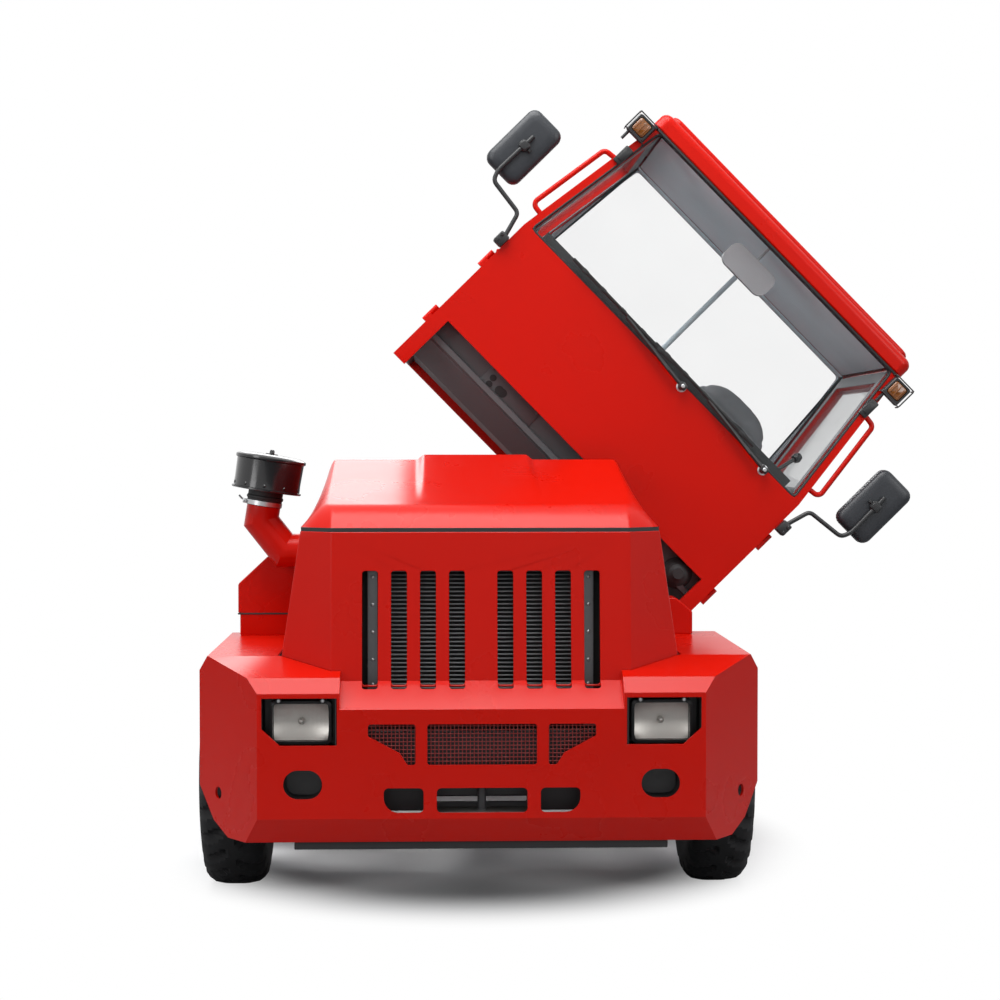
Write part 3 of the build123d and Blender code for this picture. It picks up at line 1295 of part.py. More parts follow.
def grab_handles():
    """Bent tubes along the front pillars."""
    y = CAB_FRONT_Y + CAB_WALL / 2
    low = BELT_Z + HANDLE_Z0
    high = BELT_Z + HANDLE_Z1
    points = [
        (pillar_x(low) - HANDLE_SLANT, y, low), (pillar_x(low) + HANDLE_OUT, y, low + HANDLE_SLANT),
        (pillar_x(high) + HANDLE_OUT, y, high - HANDLE_SLANT), (pillar_x(high) - HANDLE_SLANT, y, high),
    ]
    return both_sides(bent_tube(points, HANDLE_R, HANDLE_D) - front_wall_envelope())


def corner_lamps():
    """Square amber lamps on the front wall's upper corners, as large as their guards."""
    z = BELT_Z + CORNER_LAMP_RISE
    half = CORNER_LAMP_W / 2
    x0 = pillar_x(z) - CORNER_LAMP_IN
    lamp = block(x0, x0 + CORNER_LAMP_W, CAB_FRONT_Y - CORNER_LAMP_T, CAB_FRONT_Y, z - half, z + half)
    return both_sides(fillet(lamp.edges().filter_by(Axis.Y), CORNER_LAMP_R))


def wipers():
    """Two arms with blades, lying along the windscreen's foot."""
    y = CAB_FRONT_Y
    z = BELT_Z - WIPER_ARM_D / 2
    near, far = WIPER_BLADE_X
    low0, high0, low1, high1 = (z + rise for rise in WIPER_BLADE_Z)
    front, back = WIPER_BLADE_Y
    arm_y = y - (front + back) / 2
    pair = []
    for x in WIPER_XS:
        wiper = rod((x, y, z), (x, y - WIPER_POST_L, z), WIPER_POST_D)
        wiper += rod((x, arm_y, z), (x - WIPER_ARM_L, arm_y, (low1 + high0) / 2), WIPER_ARM_D)
        blade = [(x - far, high1), (x - near, high0), (x - near, low0), (x - far, low1)]
        wiper += prism_xz(blade, y - front, y - back)
        pair.append(wiper)
    return Compound(pair)


# Doors

def door_outline():
    top = ROOF_SEAM_Z - DOOR_TOP_GAP
    foot = CAB_SILL_Z + SILL_H + DOOR_GAP
    return [
        (CAB_X, foot), (CAB_X, BELT_Z), (pillar_x(top), top),
        (pillar_x(top) - DOOR_T, top), (CAB_X - DOOR_T, BELT_Z), (CAB_X - DOOR_T, foot),
    ]


def door_ys():
    return CAB_FRONT_Y + CAB_WALL + DOOR_GAP, CAB_REAR_Y - CAB_WALL - DOOR_REAR_GAP


def door():
    y0, y1 = door_ys()
    panel = prism_xz(door_outline(), y0, y1)
    glass_top = ROOF_SEAM_Z - DOOR_TOP_GAP - DOOR_GLASS_MARGIN
    panel -= block(0, CAB_X + 1, y0 + DOOR_GLASS_MARGIN, y1 - DOOR_GLASS_MARGIN, DOOR_GLASS_Z0, glass_top)
    for z in DOOR_HINGE_ZS:
        z0 = z + DOOR_HINGE_H + FIT
        panel += block(CAB_X - DOOR_LEAF_IN, DOOR_PIN_X, y0, y0 + DOOR_LEAF_L, z0, z0 + DOOR_HINGE_H)
        panel += rod((DOOR_PIN_X, y0, z0), (DOOR_PIN_X, y0, z0 + DOOR_HINGE_H), DOOR_PIN_D)
    far = CAB_X + PULL_OUT
    ends = [y1 - back for back in PULL_Y]
    pull = rod((far, ends[0], PULL_Z), (far, ends[1], PULL_Z), PULL_D)
    for y in (ends[0] + PULL_POST_IN, ends[1] - PULL_POST_IN):
        pull += rod((CAB_X - DOOR_LEAF_IN, y, PULL_Z), (far, y, PULL_Z), PULL_POST_D)
    return panel + pull


def door_glass():
    y0, y1 = door_ys()
    low = DOOR_GLASS_Z0 + FIT
    high = ROOF_SEAM_Z - DOOR_TOP_GAP - DOOR_GLASS_MARGIN - FIT
    depth = (DOOR_T - GLASS_T) / 2
    pane = [
        (pillar_x(low) - depth, low), (pillar_x(high) - depth, high),
        (pillar_x(high) - depth - GLASS_T, high), (pillar_x(low) - depth - GLASS_T, low),
    ]
    return prism_xz(pane, y0 + DOOR_GLASS_MARGIN + FIT, y1 - DOOR_GLASS_MARGIN - FIT)


# Tilt cylinder, at the tilted cab

def ram_ends():
    """The foot pin, the rod's eye at the tilted and at the lowered cab, as X and Z."""
    dx = RAM_EYE_X - PIVOT_X
    dz = RAM_EYE_Z - PIVOT_Z
    raised = Vector(PIVOT_X + dx * COS_TILT + dz * SIN_TILT, RAM_Y, PIVOT_Z - dx * SIN_TILT + dz * COS_TILT)
    foot = Vector(RAM_FOOT_X, RAM_Y, RAM_FOOT_Z)
    lowered = Vector(RAM_EYE_X, RAM_Y, RAM_EYE_Z)
    return foot, raised, (lowered - foot).length


def ram_axis_plane():
    foot, raised, _ = ram_ends()
    return Plane(foot, x_dir=(0, 1, 0), z_dir=(raised - foot).normalized())


def ram_barrel():
    _, _, closed = ram_ends()
    top = closed - RAM_END_ROOM
    foot = RAM_EYE_D / 2 + RAM_NECK_L
    floor = foot + RAM_BASE_T
    barrel = Pos(0, 0, (top + foot) / 2) * Cylinder(RAM_BARREL_D / 2, top - foot)
    barrel -= Pos(0, 0, (top + floor) / 2) * Cylinder(RAM_ROD_D / 2 + FIT, top - floor + FIT)
    eye = Rot(0, 90, 0) * Cylinder(RAM_EYE_D / 2, RAM_EYE_W)
    eye += Pos(0, 0, foot / 2) * Box(RAM_EYE_W, RAM_EYE_D - 10, foot + 2)
    eye -= Rot(0, 90, 0) * Cylinder(RAM_PIN_D / 2 + FIT, RAM_EYE_W + 2)
    return ram_axis_plane() * (barrel + eye)


def ram_rod():
    foot, raised, closed = ram_ends()
    reach = (raised - foot).length
    length = closed - RAM_END_ROOM
    bar = Pos(0, 0, reach - length / 2) * Cylinder(RAM_ROD_D / 2, length)
    bar += Pos(0, 0, reach) * Rot(0, 90, 0) * Cylinder(RAM_EYE_D / 2 - 4, RAM_EYE_W)
    return ram_axis_plane() * bar


def parts():
    chassis = {
        "chassis_frame": chassis_frame(), "front_bumper": front_bumper(), "bumper_mesh": bumper_mesh(),
        "headlamp_buckets": headlamp_buckets(), "headlamp_lenses": headlamp_lenses(),
        "grille_fascia": grille_fascia(), "hood_sides": hood_sides(), "hood_seal": hood_seal(),
        "hood_lid": hood_lid(), "radiator": radiator(), "side_boxes": side_boxes(),
        "intake_elbow": intake_elbow(), "pre_cleaner": pre_cleaner(), "skid_plate": skid_plate(),
        "front_tow_jaw": front_tow_jaw(), "drive_line": engine_block() + propeller_shaft(),
        "front_axle": front_axle(), "tie_rod": tie_rod(),
        "rear_axle": rear_axle(), "side_tanks": side_tanks(), "steps": steps(),
        "rear_body": rear_body(), "rear_hitch": rear_hitch(), "tail_lamps": tail_lamps(),
        "knuckle_left": knuckle(), "knuckle_right": across(knuckle()),
        "ram_barrel": ram_barrel(), "ram_rod": ram_rod(),
    }
    for side, name in ((1, "left"), (-1, "right")):
        x = side * FRONT_WHEEL_X
        chassis[f"tyre_front_{name}"] = tyre(x, FRONT_AXLE_Y, FRONT_TYRE_D, FRONT_TYRE_W)
        chassis[f"rim_front_{name}"] = rim(x, FRONT_AXLE_Y, FRONT_HUB_Z)
        x = side * REAR_WHEEL_X
        chassis[f"tyre_rear_{name}"] = tyre(x, REAR_AXLE_Y, REAR_TYRE_D, REAR_TYRE_W)
        chassis[f"rim_rear_{name}"] = rim(x, REAR_AXLE_Y, REAR_HUB_Z)
    cab = {
        "cab_front": cab_front(), "cab_rear": cab_rear(), "cab_sills": cab_sills(), "cab_roof": cab_roof(),
        "cab_floor": cab_floor(), "windscreen": windscreen(), "rear_glass": rear_glass(),
        "dashboard": dashboard(), "steering_wheel": steering_wheel(), "seat_base": seat_base(),
        "seat_pads": Compound([seat_cushion(), seat_backrest()]), "interior_mirror": interior_mirror(),
        "door_mirrors": Compound([mirror_arms(), mirror_heads()]), "grab_handles": grab_handles(),
        "corner_lamps": corner_lamps(), "wipers": wipers(),
        "door_left": door(), "door_right": across(door()),
        "door_glass_left": door_glass(), "door_glass_right": across(door_glass()),
    }
    placed = {name: PLACE * shape for name, shape in chassis.items()}
    placed.update({name: PLACE * CAB_PLACE * shape for name, shape in cab.items()})
    return placed


os.makedirs("parts", exist_ok=True)
for node, shape in parts().items():
    export_step(shape, f"parts/{node}.step")
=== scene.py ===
# %% [markdown]
# # An airport tow tractor, dressed for its portrait
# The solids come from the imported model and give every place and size. This lesson loads
# them as a fixed frame, paints them, and adds what is too fine for solids: tread, wire
# mesh, lamp glass, radiator fins, a sewn seat and small fittings.

# %% Load the solids
import json
import math
import bmesh
import bpy
from mathutils import Matrix, Vector


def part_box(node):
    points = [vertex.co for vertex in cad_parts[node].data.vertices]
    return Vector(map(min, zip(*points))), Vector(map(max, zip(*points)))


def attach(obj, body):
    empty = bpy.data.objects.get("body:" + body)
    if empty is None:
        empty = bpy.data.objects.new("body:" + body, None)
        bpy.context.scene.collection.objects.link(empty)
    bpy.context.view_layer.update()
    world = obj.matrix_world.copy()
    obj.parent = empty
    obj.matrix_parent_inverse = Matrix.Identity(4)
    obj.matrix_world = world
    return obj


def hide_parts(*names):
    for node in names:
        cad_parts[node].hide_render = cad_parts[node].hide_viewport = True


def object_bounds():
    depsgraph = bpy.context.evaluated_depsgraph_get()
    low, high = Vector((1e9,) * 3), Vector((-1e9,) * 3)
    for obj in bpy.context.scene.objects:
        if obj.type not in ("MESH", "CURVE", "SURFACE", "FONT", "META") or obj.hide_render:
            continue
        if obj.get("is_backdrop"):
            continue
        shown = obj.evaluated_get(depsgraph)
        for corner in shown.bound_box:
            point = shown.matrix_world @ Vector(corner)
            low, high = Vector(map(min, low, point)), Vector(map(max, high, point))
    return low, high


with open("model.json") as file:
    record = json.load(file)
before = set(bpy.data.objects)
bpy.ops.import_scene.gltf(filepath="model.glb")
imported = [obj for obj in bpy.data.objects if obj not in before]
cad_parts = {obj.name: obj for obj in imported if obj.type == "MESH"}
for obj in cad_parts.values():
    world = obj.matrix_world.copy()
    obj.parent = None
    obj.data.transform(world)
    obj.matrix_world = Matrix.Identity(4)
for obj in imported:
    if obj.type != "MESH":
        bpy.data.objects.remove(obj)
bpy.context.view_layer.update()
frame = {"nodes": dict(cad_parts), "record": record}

record = frame["record"]
nodes = frame["nodes"]

# %% [markdown]
# The tractor was drawn with lengths measured back from the bumper's face, and its cab was
# drawn lowered. Two matrices carry such places into the scene: one for the chassis, and one
# that also swings the cab up about its hinge, whose place and angle the record gives.

# %% Places of the chassis and of the tilted cab
joints = {row["name"]: row for row in record["behaviour"]["joints"]}
HALF_LENGTH = 1.65
tilt = math.radians(joints["cab_tilt"]["range_deg"][1])
hinge = Vector(joints["cab_tilt"]["pos_m"])
CHASSIS = Matrix.Translation((0, -HALF_LENGTH, 0))
CAB = CHASSIS @ Matrix.Translation(hinge) @ Matrix.Rotation(tilt, 4, "Y") @ Matrix.Translation(-hinge)
FLOOR_Z = 0.0
FORWARD = (0, -1, 0)
SIDES = (("left", 1), ("right", -1))
ENDS = ("front", "rear")


def extent(node):
    """A solid's two corners, and its middle in the drawing's lengths."""
    low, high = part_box(node)
    return low, high, (low + high) / 2 + Vector((0, HALF_LENGTH, 0))


print("cab raised by", round(math.degrees(tilt), 1), "degrees")

# %% [markdown]
# A finish is a small web of nodes. Wrapping a socket in a class lets the sums be written as
# plain Python: `cloud * 2` adds a Math node by itself. Any other kind of node comes from one
# method, which takes its settings first and then the values of its sockets.

# %% Shader sums as expressions
class Shade:
    def __init__(self, tree, socket=None):
        self.tree = tree
        self.socket = socket

    def node(self, kind, settings=None, inputs=None, output=0):
        made = self.tree.nodes.new(kind)
        for name, value in (settings or {}).items():
            if name == "stops":
                for stop, (place, colour) in zip(made.color_ramp.elements, value):
                    stop.position = place
                    stop.color = colour
            else:
                setattr(made, name, value)
        for name, value in (inputs or {}).items():
            if isinstance(value, Shade):
                self.tree.links.new(value.socket, made.inputs[name])
            else:
                made.inputs[name].default_value = value
        return Shade(self.tree, made.outputs[output] if made.outputs else None)

    def sum_with(self, operation, first, second):
        return self.node("ShaderNodeMath", {"operation": operation}, {0: first, 1: second})

    def __add__(self, other):
        return self.sum_with("ADD", self, other)

    def __mul__(self, other):
        return self.sum_with("MULTIPLY", self, other)

    def __pow__(self, other):
        return self.sum_with("POWER", self, other)


def blank_material(name):
    material = bpy.data.materials.new(name)
    material.use_nodes = True
    material.node_tree.nodes.clear()
    return material, Shade(material.node_tree)


def close_material(graph, shader):
    graph.node("ShaderNodeOutputMaterial", None, {"Surface": shader})


print("shader helper ready")

# %% [markdown]
# Most of the tractor is one of a few finishes that differ in numbers only. Each has a base
# colour with a faint cloud of tone, a roughness that wanders a little, and a fine bump: the
# orange peel of sprayed paint, the grain of moulded plastic, the pores of rubber.

# %% One recipe for paint, plastic, rubber and metal
DUST = (0.42, 0.38, 0.33, 1)
CLOUD_DETAIL = 5.0
GRAIN_DETAIL = 2.0
COAT_ROUGH = 0.06
COLOUR_OUT = 2


def surface(name, tint, rough, metallic=0.0, coat=0.0, tone=0.12, tone_scale=4.0,
            rough_swing=0.06, grain=0.02, grain_scale=400.0, grain_depth=0.0004, dust=0.0, gloss=0.5):
    material, graph = blank_material(name)
    where = graph.node("ShaderNodeTexCoord", output="Object")
    cloud = graph.node("ShaderNodeTexNoise", None, {
        "Vector": where, "Scale": tone_scale, "Detail": CLOUD_DETAIL})
    fine = graph.node("ShaderNodeTexNoise", None, {
        "Vector": where, "Scale": grain_scale, "Detail": GRAIN_DETAIL})
    dark = [c * (1 - tone) for c in tint] + [1]
    light = [min(1, c * (1 + tone)) for c in tint] + [1]
    colour = graph.node(
        "ShaderNodeMix", {"data_type": "RGBA"}, {"Factor": cloud, "A": dark, "B": light}, COLOUR_OUT)
    if dust:
        up = graph.node("ShaderNodeSeparateXYZ", None, {
            "Vector": graph.node("ShaderNodeNewGeometry", output="Normal")}, output="Z")
        layer = graph.sum_with("MAXIMUM", up, 0.0) * cloud * dust
        colour = graph.node("ShaderNodeMix", {"data_type": "RGBA"}, {
            "Factor": layer, "A": colour, "B": DUST}, COLOUR_OUT)
    bump = graph.node("ShaderNodeBump", None, {"Strength": grain, "Distance": grain_depth, "Height": fine})
    shader = graph.node("ShaderNodeBsdfPrincipled", None, {
        "Base Color": colour, "Roughness": cloud * rough_swing + (rough - rough_swing / 2),
        "Metallic": metallic, "Coat Weight": coat, "Coat Roughness": COAT_ROUGH, "Specular IOR Level": gloss,
        "Normal": bump})
    close_material(graph, shader)
    return material


RED = (0.55, 0.005, 0.0)
finishes = {
    "red_paint": surface("red enamel", RED, 0.28, gloss=0.20, tone=0.03, grain=0.02, grain_scale=160),
    "dark_steel": surface("black chassis paint", (0.022, 0.022, 0.024), 0.48, grain=0.25, dust=0.25),
    "cab_grey": surface("grey cab paint", (0.085, 0.088, 0.092), 0.52, grain=0.35, grain_scale=600),
    "rim_paint": surface("wheel paint", (0.30, 0.30, 0.31), 0.42, grain=0.2, dust=0.2),
    "engine_iron": surface(
        "engine casting", (0.10, 0.105, 0.11), 0.65, metallic=0.4, grain=0.6, grain_scale=250),
    "radiator_metal": surface("radiator metal", (0.16, 0.165, 0.17), 0.42, metallic=0.7, grain=0.2),
    "wire_mesh": surface("mesh paint", (0.20, 0.012, 0.010), 0.45, grain=0.1),
    "tyre_rubber": surface(
        "tyre rubber", (0.011, 0.011, 0.012), 0.72, grain=0.5, grain_scale=300, dust=0.08, gloss=0.3),
    "black_rubber": surface("black rubber", (0.012, 0.012, 0.013), 0.62, grain=0.3),
    "black_plastic": surface(
        "grained black plastic", (0.016, 0.017, 0.018), 0.40, grain=0.45, grain_scale=700),
    "amber_lens": surface("amber lens", (0.20, 0.062, 0.005), 0.14, coat=0.6, tone=0.2, tone_scale=40),
    "red_lens": surface("red lens", (0.42, 0.010, 0.012), 0.14, coat=0.6, tone=0.2, tone_scale=40),
    "seat_vinyl": surface("seat cloth", (0.250, 0.260, 0.270), 0.85, grain=0.8, grain_scale=900),
    "ram_chrome": surface("polished rod", (0.70, 0.70, 0.71), 0.14, metallic=1.0, tone=0.03),
}
gloss_black = surface("gloss black drum", (0.005, 0.005, 0.006), 0.18, coat=0.25, grain=0.05)
zinc = surface("zinc plated steel", (0.52, 0.53, 0.54), 0.34, metallic=1.0, tone=0.10, grain=0.2)
silvered = surface("silvered reflector", (0.50, 0.48, 0.45), 0.40, metallic=1.0, tone=0.02, grain=0.0)
lining = surface("pale cab lining", (0.72, 0.82, 0.87), 0.70, grain=0.5, grain_scale=500)
door_board = surface("grey door board", (0.26, 0.27, 0.28), 0.70, grain=0.5, grain_scale=500)
dial_white = surface("dial print", (0.70, 0.70, 0.68), 0.50, tone=0.05)
slate = surface("slate plastic", (0.018, 0.021, 0.026), 0.42, grain=0.45, grain_scale=700)
# Dead black for the radiator's core face and baffles: painted shade, not soot.
painted_core_shade = surface("painted shade of the radiator core", (0.006, 0.006, 0.006), 0.80, grain=0.5, grain_scale=500)
print("finishes by slot:", len(finishes))

# %% [markdown]
# Flat safety glass is thin, so light hardly bends in it. An almost clear surface with a sharp
# gloss shows the white studio behind the cab and still carries reflections. Lamp glass is
# thicker and moulded, so it is only partly clear.

# %% Glass and mirror
SMEAR_SCALE = 3.0
SMEAR_DETAIL = 6.0
SMEAR_ALPHA = 0.03
SMEAR_ROUGH = 0.05
SLANT_BLEND = 0.35
SLANT_POWER = 3.0


def pane(name, tint, alpha, rough, slant, ior):
    material, graph = blank_material(name)
    where = graph.node("ShaderNodeTexCoord", output="Object")
    smear = graph.node("ShaderNodeTexNoise", None, {
        "Vector": where, "Scale": SMEAR_SCALE, "Detail": SMEAR_DETAIL})
    facing = graph.node("ShaderNodeLayerWeight", None, {"Blend": SLANT_BLEND}, output="Facing")
    body = smear * SMEAR_ALPHA + facing ** SLANT_POWER * slant + alpha
    shader = graph.node("ShaderNodeBsdfPrincipled", None, {
        "Base Color": (*tint, 1), "Roughness": smear * SMEAR_ROUGH + rough, "Alpha": body, "IOR": ior})
    close_material(graph, shader)
    return material


finishes["clear_glass"] = pane("window glass", (0.24, 0.27, 0.28), 0.02, 0.02, 0.85, 1.20)
finishes["lamp_glass"] = pane("lamp glass", (0.44, 0.42, 0.39), 0.20, 0.05, 0.10, 1.5)
looking_glass = surface("looking glass", (0.80, 0.82, 0.83), 0.04, metallic=1.0, tone=0.01, grain=0.0)
print("glass ready")

# %% [markdown]
# The solids have knife edges, and nothing made of bent plate does. A narrow chamfer along
# every real edge catches the light and is the cheapest step from drawing to object. The
# imported solids have split points, so they are welded first. A small node group then shades
# curved faces smoothly and leaves flat ones flat, by the angle between neighbouring faces.

# %% Paint the solids and soften their edges
EDGE = {"red_paint": 0.004, "dark_steel": 0.003, "cab_grey": 0.003, "engine_iron": 0.010,
        "rim_paint": 0.003, "radiator_metal": 0.002, "black_plastic": 0.004}
WELD_WITHIN = 0.00002
SMOOTH_UNDER = math.radians(19)
CHAMFER_OVER = math.radians(39)


def shading_group():
    group = bpy.data.node_groups.new("shade by angle", "GeometryNodeTree")
    for way in ("INPUT", "OUTPUT"):
        group.interface.new_socket("Geometry", in_out=way, socket_type="NodeSocketGeometry")
    start = group.nodes.new("NodeGroupInput")
    end = group.nodes.new("NodeGroupOutput")
    angle = group.nodes.new("GeometryNodeInputMeshEdgeAngle")
    over = group.nodes.new("FunctionNodeCompare")
    over.inputs[1].default_value = SMOOTH_UNDER
    smooth = group.nodes.new("GeometryNodeSetShadeSmooth")
    crease = group.nodes.new("GeometryNodeSetShadeSmooth")
    crease.domain = "EDGE"
    crease.inputs["Shade Smooth"].default_value = False
    group.links.new(angle.outputs[0], over.inputs[0])
    group.links.new(start.outputs[0], smooth.inputs["Geometry"])
    group.links.new(smooth.outputs[0], crease.inputs["Geometry"])
    group.links.new(over.outputs[0], crease.inputs["Selection"])
    group.links.new(crease.outputs[0], end.inputs[0])
    return group


shade_by_angle = shading_group()


def soften(solid, width):
    weld = solid.modifiers.new("weld", "WELD")
    weld.merge_threshold = WELD_WITHIN
    bevel = solid.modifiers.new("edge", "BEVEL")
    bevel.width = width
    bevel.segments = 1
    bevel.limit_method = "ANGLE"
    bevel.angle_limit = CHAMFER_OVER
    solid.modifiers.new("shade", "NODES").node_group = shade_by_angle


for row in record["subparts"]:
    solid = nodes[row["node"]]
    solid.data.materials.clear()
    solid.data.materials.append(finishes[row["material_slot"]])
    if row["material_slot"] in EDGE:
        soften(solid, EDGE[row["material_slot"]])
nodes["cab_sills"].data.materials[0] = finishes["dark_steel"]
print("painted", len(record["subparts"]), "solids")

# %% [markdown]
# Small fittings are gathered from simple forms: boxes with soft edges, turned profiles, bent
# tubes and flat plates. One class collects such forms into one mesh, in the drawing's own
# lengths, and at the end places it, paints it and hangs it on the body that carries it.

# %% A maker's box of simple forms
class Piece:
    def __init__(self, name, place=CHASSIS):
        self.name = name.replace(" ", "_")
        self.place = place
        self.form = bmesh.new()

    def take(self, part, matrix=None):
        if matrix is not None:
            bmesh.ops.transform(part, matrix=matrix, verts=part.verts)
        mesh = bpy.data.meshes.new("part")
        part.to_mesh(mesh)
        part.free()
        self.form.from_mesh(mesh)
        bpy.data.meshes.remove(mesh)
        return self

    def box(self, low, high, soft=0.002, turn=None):
        low, high = Vector(low), Vector(high)
        part = bmesh.new()
        bmesh.ops.create_cube(part, size=1)
        size = Vector([abs(a) for a in high - low])
        bmesh.ops.scale(part, vec=size, verts=part.verts)
        if soft:
            bmesh.ops.bevel(part, geom=part.edges[:], offset=min(soft, min(size) * 0.45), segments=2,
                            profile=0.5, affect="EDGES")
        spin = turn.to_4x4() if turn is not None else Matrix.Identity(4)
        return self.take(part, Matrix.Translation((low + high) / 2) @ spin)

    def lathe(self, profile, centre, axis=(0, 0, 1), steps=32):
        part = bmesh.new()
        rings = []
        for radius, height in profile:
            count = 1 if radius < 1e-6 else steps
            rings.append([part.verts.new((radius * math.cos(2 * math.pi * i / steps),
                                          radius * math.sin(2 * math.pi * i / steps), height))
                          for i in range(count)])
        for one, two in zip(rings, rings[1:]):
            skin(part, one, two)
        turn = Vector((0, 0, 1)).rotation_difference(Vector(axis)).to_matrix().to_4x4()
        return self.take(part, Matrix.Translation(centre) @ turn)

    def nut(self, radius, centre, axis, length):
        profile = [(0, 0), (radius, 0), (radius, length * 0.82), (radius * 0.8, length), (0, length)]
        return self.lathe(profile, centre, axis, 6)

    def tube(self, points, radius, sides=10, closed=False):
        points = [Vector(p) for p in points]
        part = bmesh.new()
        rings = []
        side = None
        for i, point in enumerate(points):
            before = points[i - 1] if i or closed else point
            after = points[(i + 1) % len(points)] if i + 1 < len(points) or closed else point
            ahead = (after - before).normalized()
            if side is None:
                side = ahead.orthogonal().normalized()
            side = (side - ahead * side.dot(ahead)).normalized()
            over = ahead.cross(side)
            rings.append([part.verts.new(point + radius * (
                side * math.cos(2 * math.pi * k / sides) + over * math.sin(2 * math.pi * k / sides)))
                for k in range(sides)])
        for one, two in zip(rings, rings[1:] + (rings[:1] if closed else [])):
            skin(part, one, two)
        if not closed:
            part.faces.new(rings[0])
            part.faces.new(list(reversed(rings[-1])))
        return self.take(part)

    def loft(self, rings, closed_ends=True, around=False):
        part = bmesh.new()
        made = [[part.verts.new(p) for p in ring] for ring in rings]
        for one, two in zip(made, made[1:] + (made[:1] if around else [])):
            skin(part, one, two)
        if closed_ends:
            part.faces.new(list(reversed(made[0])))
            part.faces.new(made[-1])
        return self.take(part)

    def done(self, body, slot, finish=None, stands_for=(), sharp=35):
        bmesh.ops.recalc_face_normals(self.form, faces=self.form.faces[:])
        bmesh.ops.transform(self.form, matrix=self.place, verts=self.form.verts)
        mesh = bpy.data.meshes.new(self.name)
        self.form.to_mesh(mesh)
        self.form.free()
        for face in mesh.polygons:
            face.use_smooth = True
        mesh.set_sharp_from_angle(angle=math.radians(sharp))
        mesh.materials.append(finish or finishes[slot])
        piece = bpy.data.objects.new(self.name, mesh)
        bpy.context.scene.collection.objects.link(piece)
        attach(piece, body)
        if stands_for:
            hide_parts(*stands_for)
        print(self.name, len(mesh.polygons), "faces")
        return piece


def skin(part, one, two):
    count = max(len(one), len(two))
    for i in range(count):
        k = (i + 1) % count
        ring = [one[i % len(one)], one[k % len(one)], two[k % len(two)], two[i % len(two)]]
        part.faces.new(list(dict.fromkeys(ring)))


def bent(points, radius, steps=5):
    """The same route with an arc at each corner."""
    points = [Vector(p) for p in points]
    route = [points[0]]
    for before, corner, after in zip(points, points[1:], points[2:]):
        start = corner + (before - corner).normalized() * radius
        end = corner + (after - corner).normalized() * radius
        for i in range(steps + 1):
            t = i / steps
            route.append(start * (1 - t) ** 2 + corner * 2 * t * (1 - t) + end * t ** 2)
    return route + [points[-1]]


def rounded(width, height, radius, top_radius=None, steps=5):
    """A rectangle with round corners, as points about its middle. Its top may be rounder."""
    top = top_radius or radius
    ring = []
    for sx, sy, start, r in ((1, 1, 0, top), (-1, 1, 90, top), (-1, -1, 180, radius), (1, -1, 270, radius)):
        for i in range(steps + 1):
            angle = math.radians(start + 90 * i / steps)
            ring.append((sx * (width / 2 - r) + r * math.cos(angle),
                         sy * (height / 2 - r) + r * math.sin(angle)))
    return ring


def upright(ring, x, y, z):
    """A ring's points in an upright plane across the tractor, about a middle."""
    return [(x + a, y, z + b) for a, b in ring]


def sheet(part, rows):
    """Faces between neighbouring rows of points."""
    for one, two in zip(rows, rows[1:]):
        for corners in zip(one, one[1:], two[1:], two):
            part.faces.new(corners)


print("form helper ready")

# %% [markdown]
# The tyres are heavy bias-ply ones with slanted shoulder lugs. Such tread is a pattern on a
# turned section: where the pattern says groove, the point sinks towards the axle. Making it
# from one grid keeps the rubber in one skin, with no lug floating on a smooth ring.

# %% Tyres with slanted lugs
LUGS = 24
LUG_STEPS = 12
LUG_SLANT = 0.85
GROOVE = 0.016
GROOVE_SHARE = 0.30
GROOVE_GROWTH = 0.12
GROOVE_WALL = 0.06
CENTRE_RIB = (0.10, 0.16)
BEAD_R = 0.210
BEAD_HALF = 0.077


def smooth_step(low, high, value):
    t = min(1, max(0, (value - low) / (high - low)))
    return t * t * (3 - 2 * t)


def tyre_section(outer, half):
    """Points from bead to crown and back, as (across, radius, depth share of the groove)."""
    side = [
        (BEAD_HALF, BEAD_R, 0), (half - 0.022, BEAD_R + 0.010, 0), (half - 0.012, BEAD_R + 0.026, 0),
        (half - 0.009, BEAD_R + 0.032, 0), (half - 0.004, BEAD_R + 0.060, 0),
        (half - 0.0005, (outer + BEAD_R) / 2 - 0.004, 0), (half - 0.0008, (outer + BEAD_R) / 2 + 0.010, 0),
        (half - 0.003, outer - 0.066, 0), (half - 0.004, outer - 0.060, 0.5),
        (half - 0.006, outer - 0.048, 0.9),
        (half - 0.008, outer - 0.034, 1), (half - 0.020, outer - 0.018, 1), (half - 0.034, outer - 0.008, 1),
        (half - 0.052, outer - 0.004, 1), (half - 0.070, outer - 0.001, 1), (half - 0.088, outer, 1),
    ]
    middle = [(x, outer, 1) for x in (0.012, -0.012)]
    return side + middle + [(-x, r, d) for x, r, d in reversed(side)]


def lug_mask(turn, across, half):
    share = across / half
    phase = (turn * LUGS + LUG_SLANT * abs(share) + (0.5 if across < 0 else 0)) % 1
    gap = GROOVE_SHARE + GROOVE_GROWTH * abs(share)
    cross_groove = smooth_step(0, GROOVE_WALL, phase) * (1 - smooth_step(gap, gap + GROOVE_WALL, phase))
    return cross_groove * smooth_step(*CENTRE_RIB, abs(share))


def tyre(node, centre, outer, half, body):
    count = LUGS * LUG_STEPS
    section = tyre_section(outer, half)
    rings = []
    for i in range(count):
        angle = 2 * math.pi * i / count
        ring = []
        for across, radius, share in section:
            sunk = radius - GROOVE * share * lug_mask(i / count, across, half)
            ring.append(centre + Vector((across, sunk * math.sin(angle), sunk * math.cos(angle))))
        rings.append(ring)
    piece = Piece(f"{node}_tread").loft(rings, closed_ends=False, around=True)
    piece.done(body, "tyre_rubber", stands_for=[node], sharp=30)


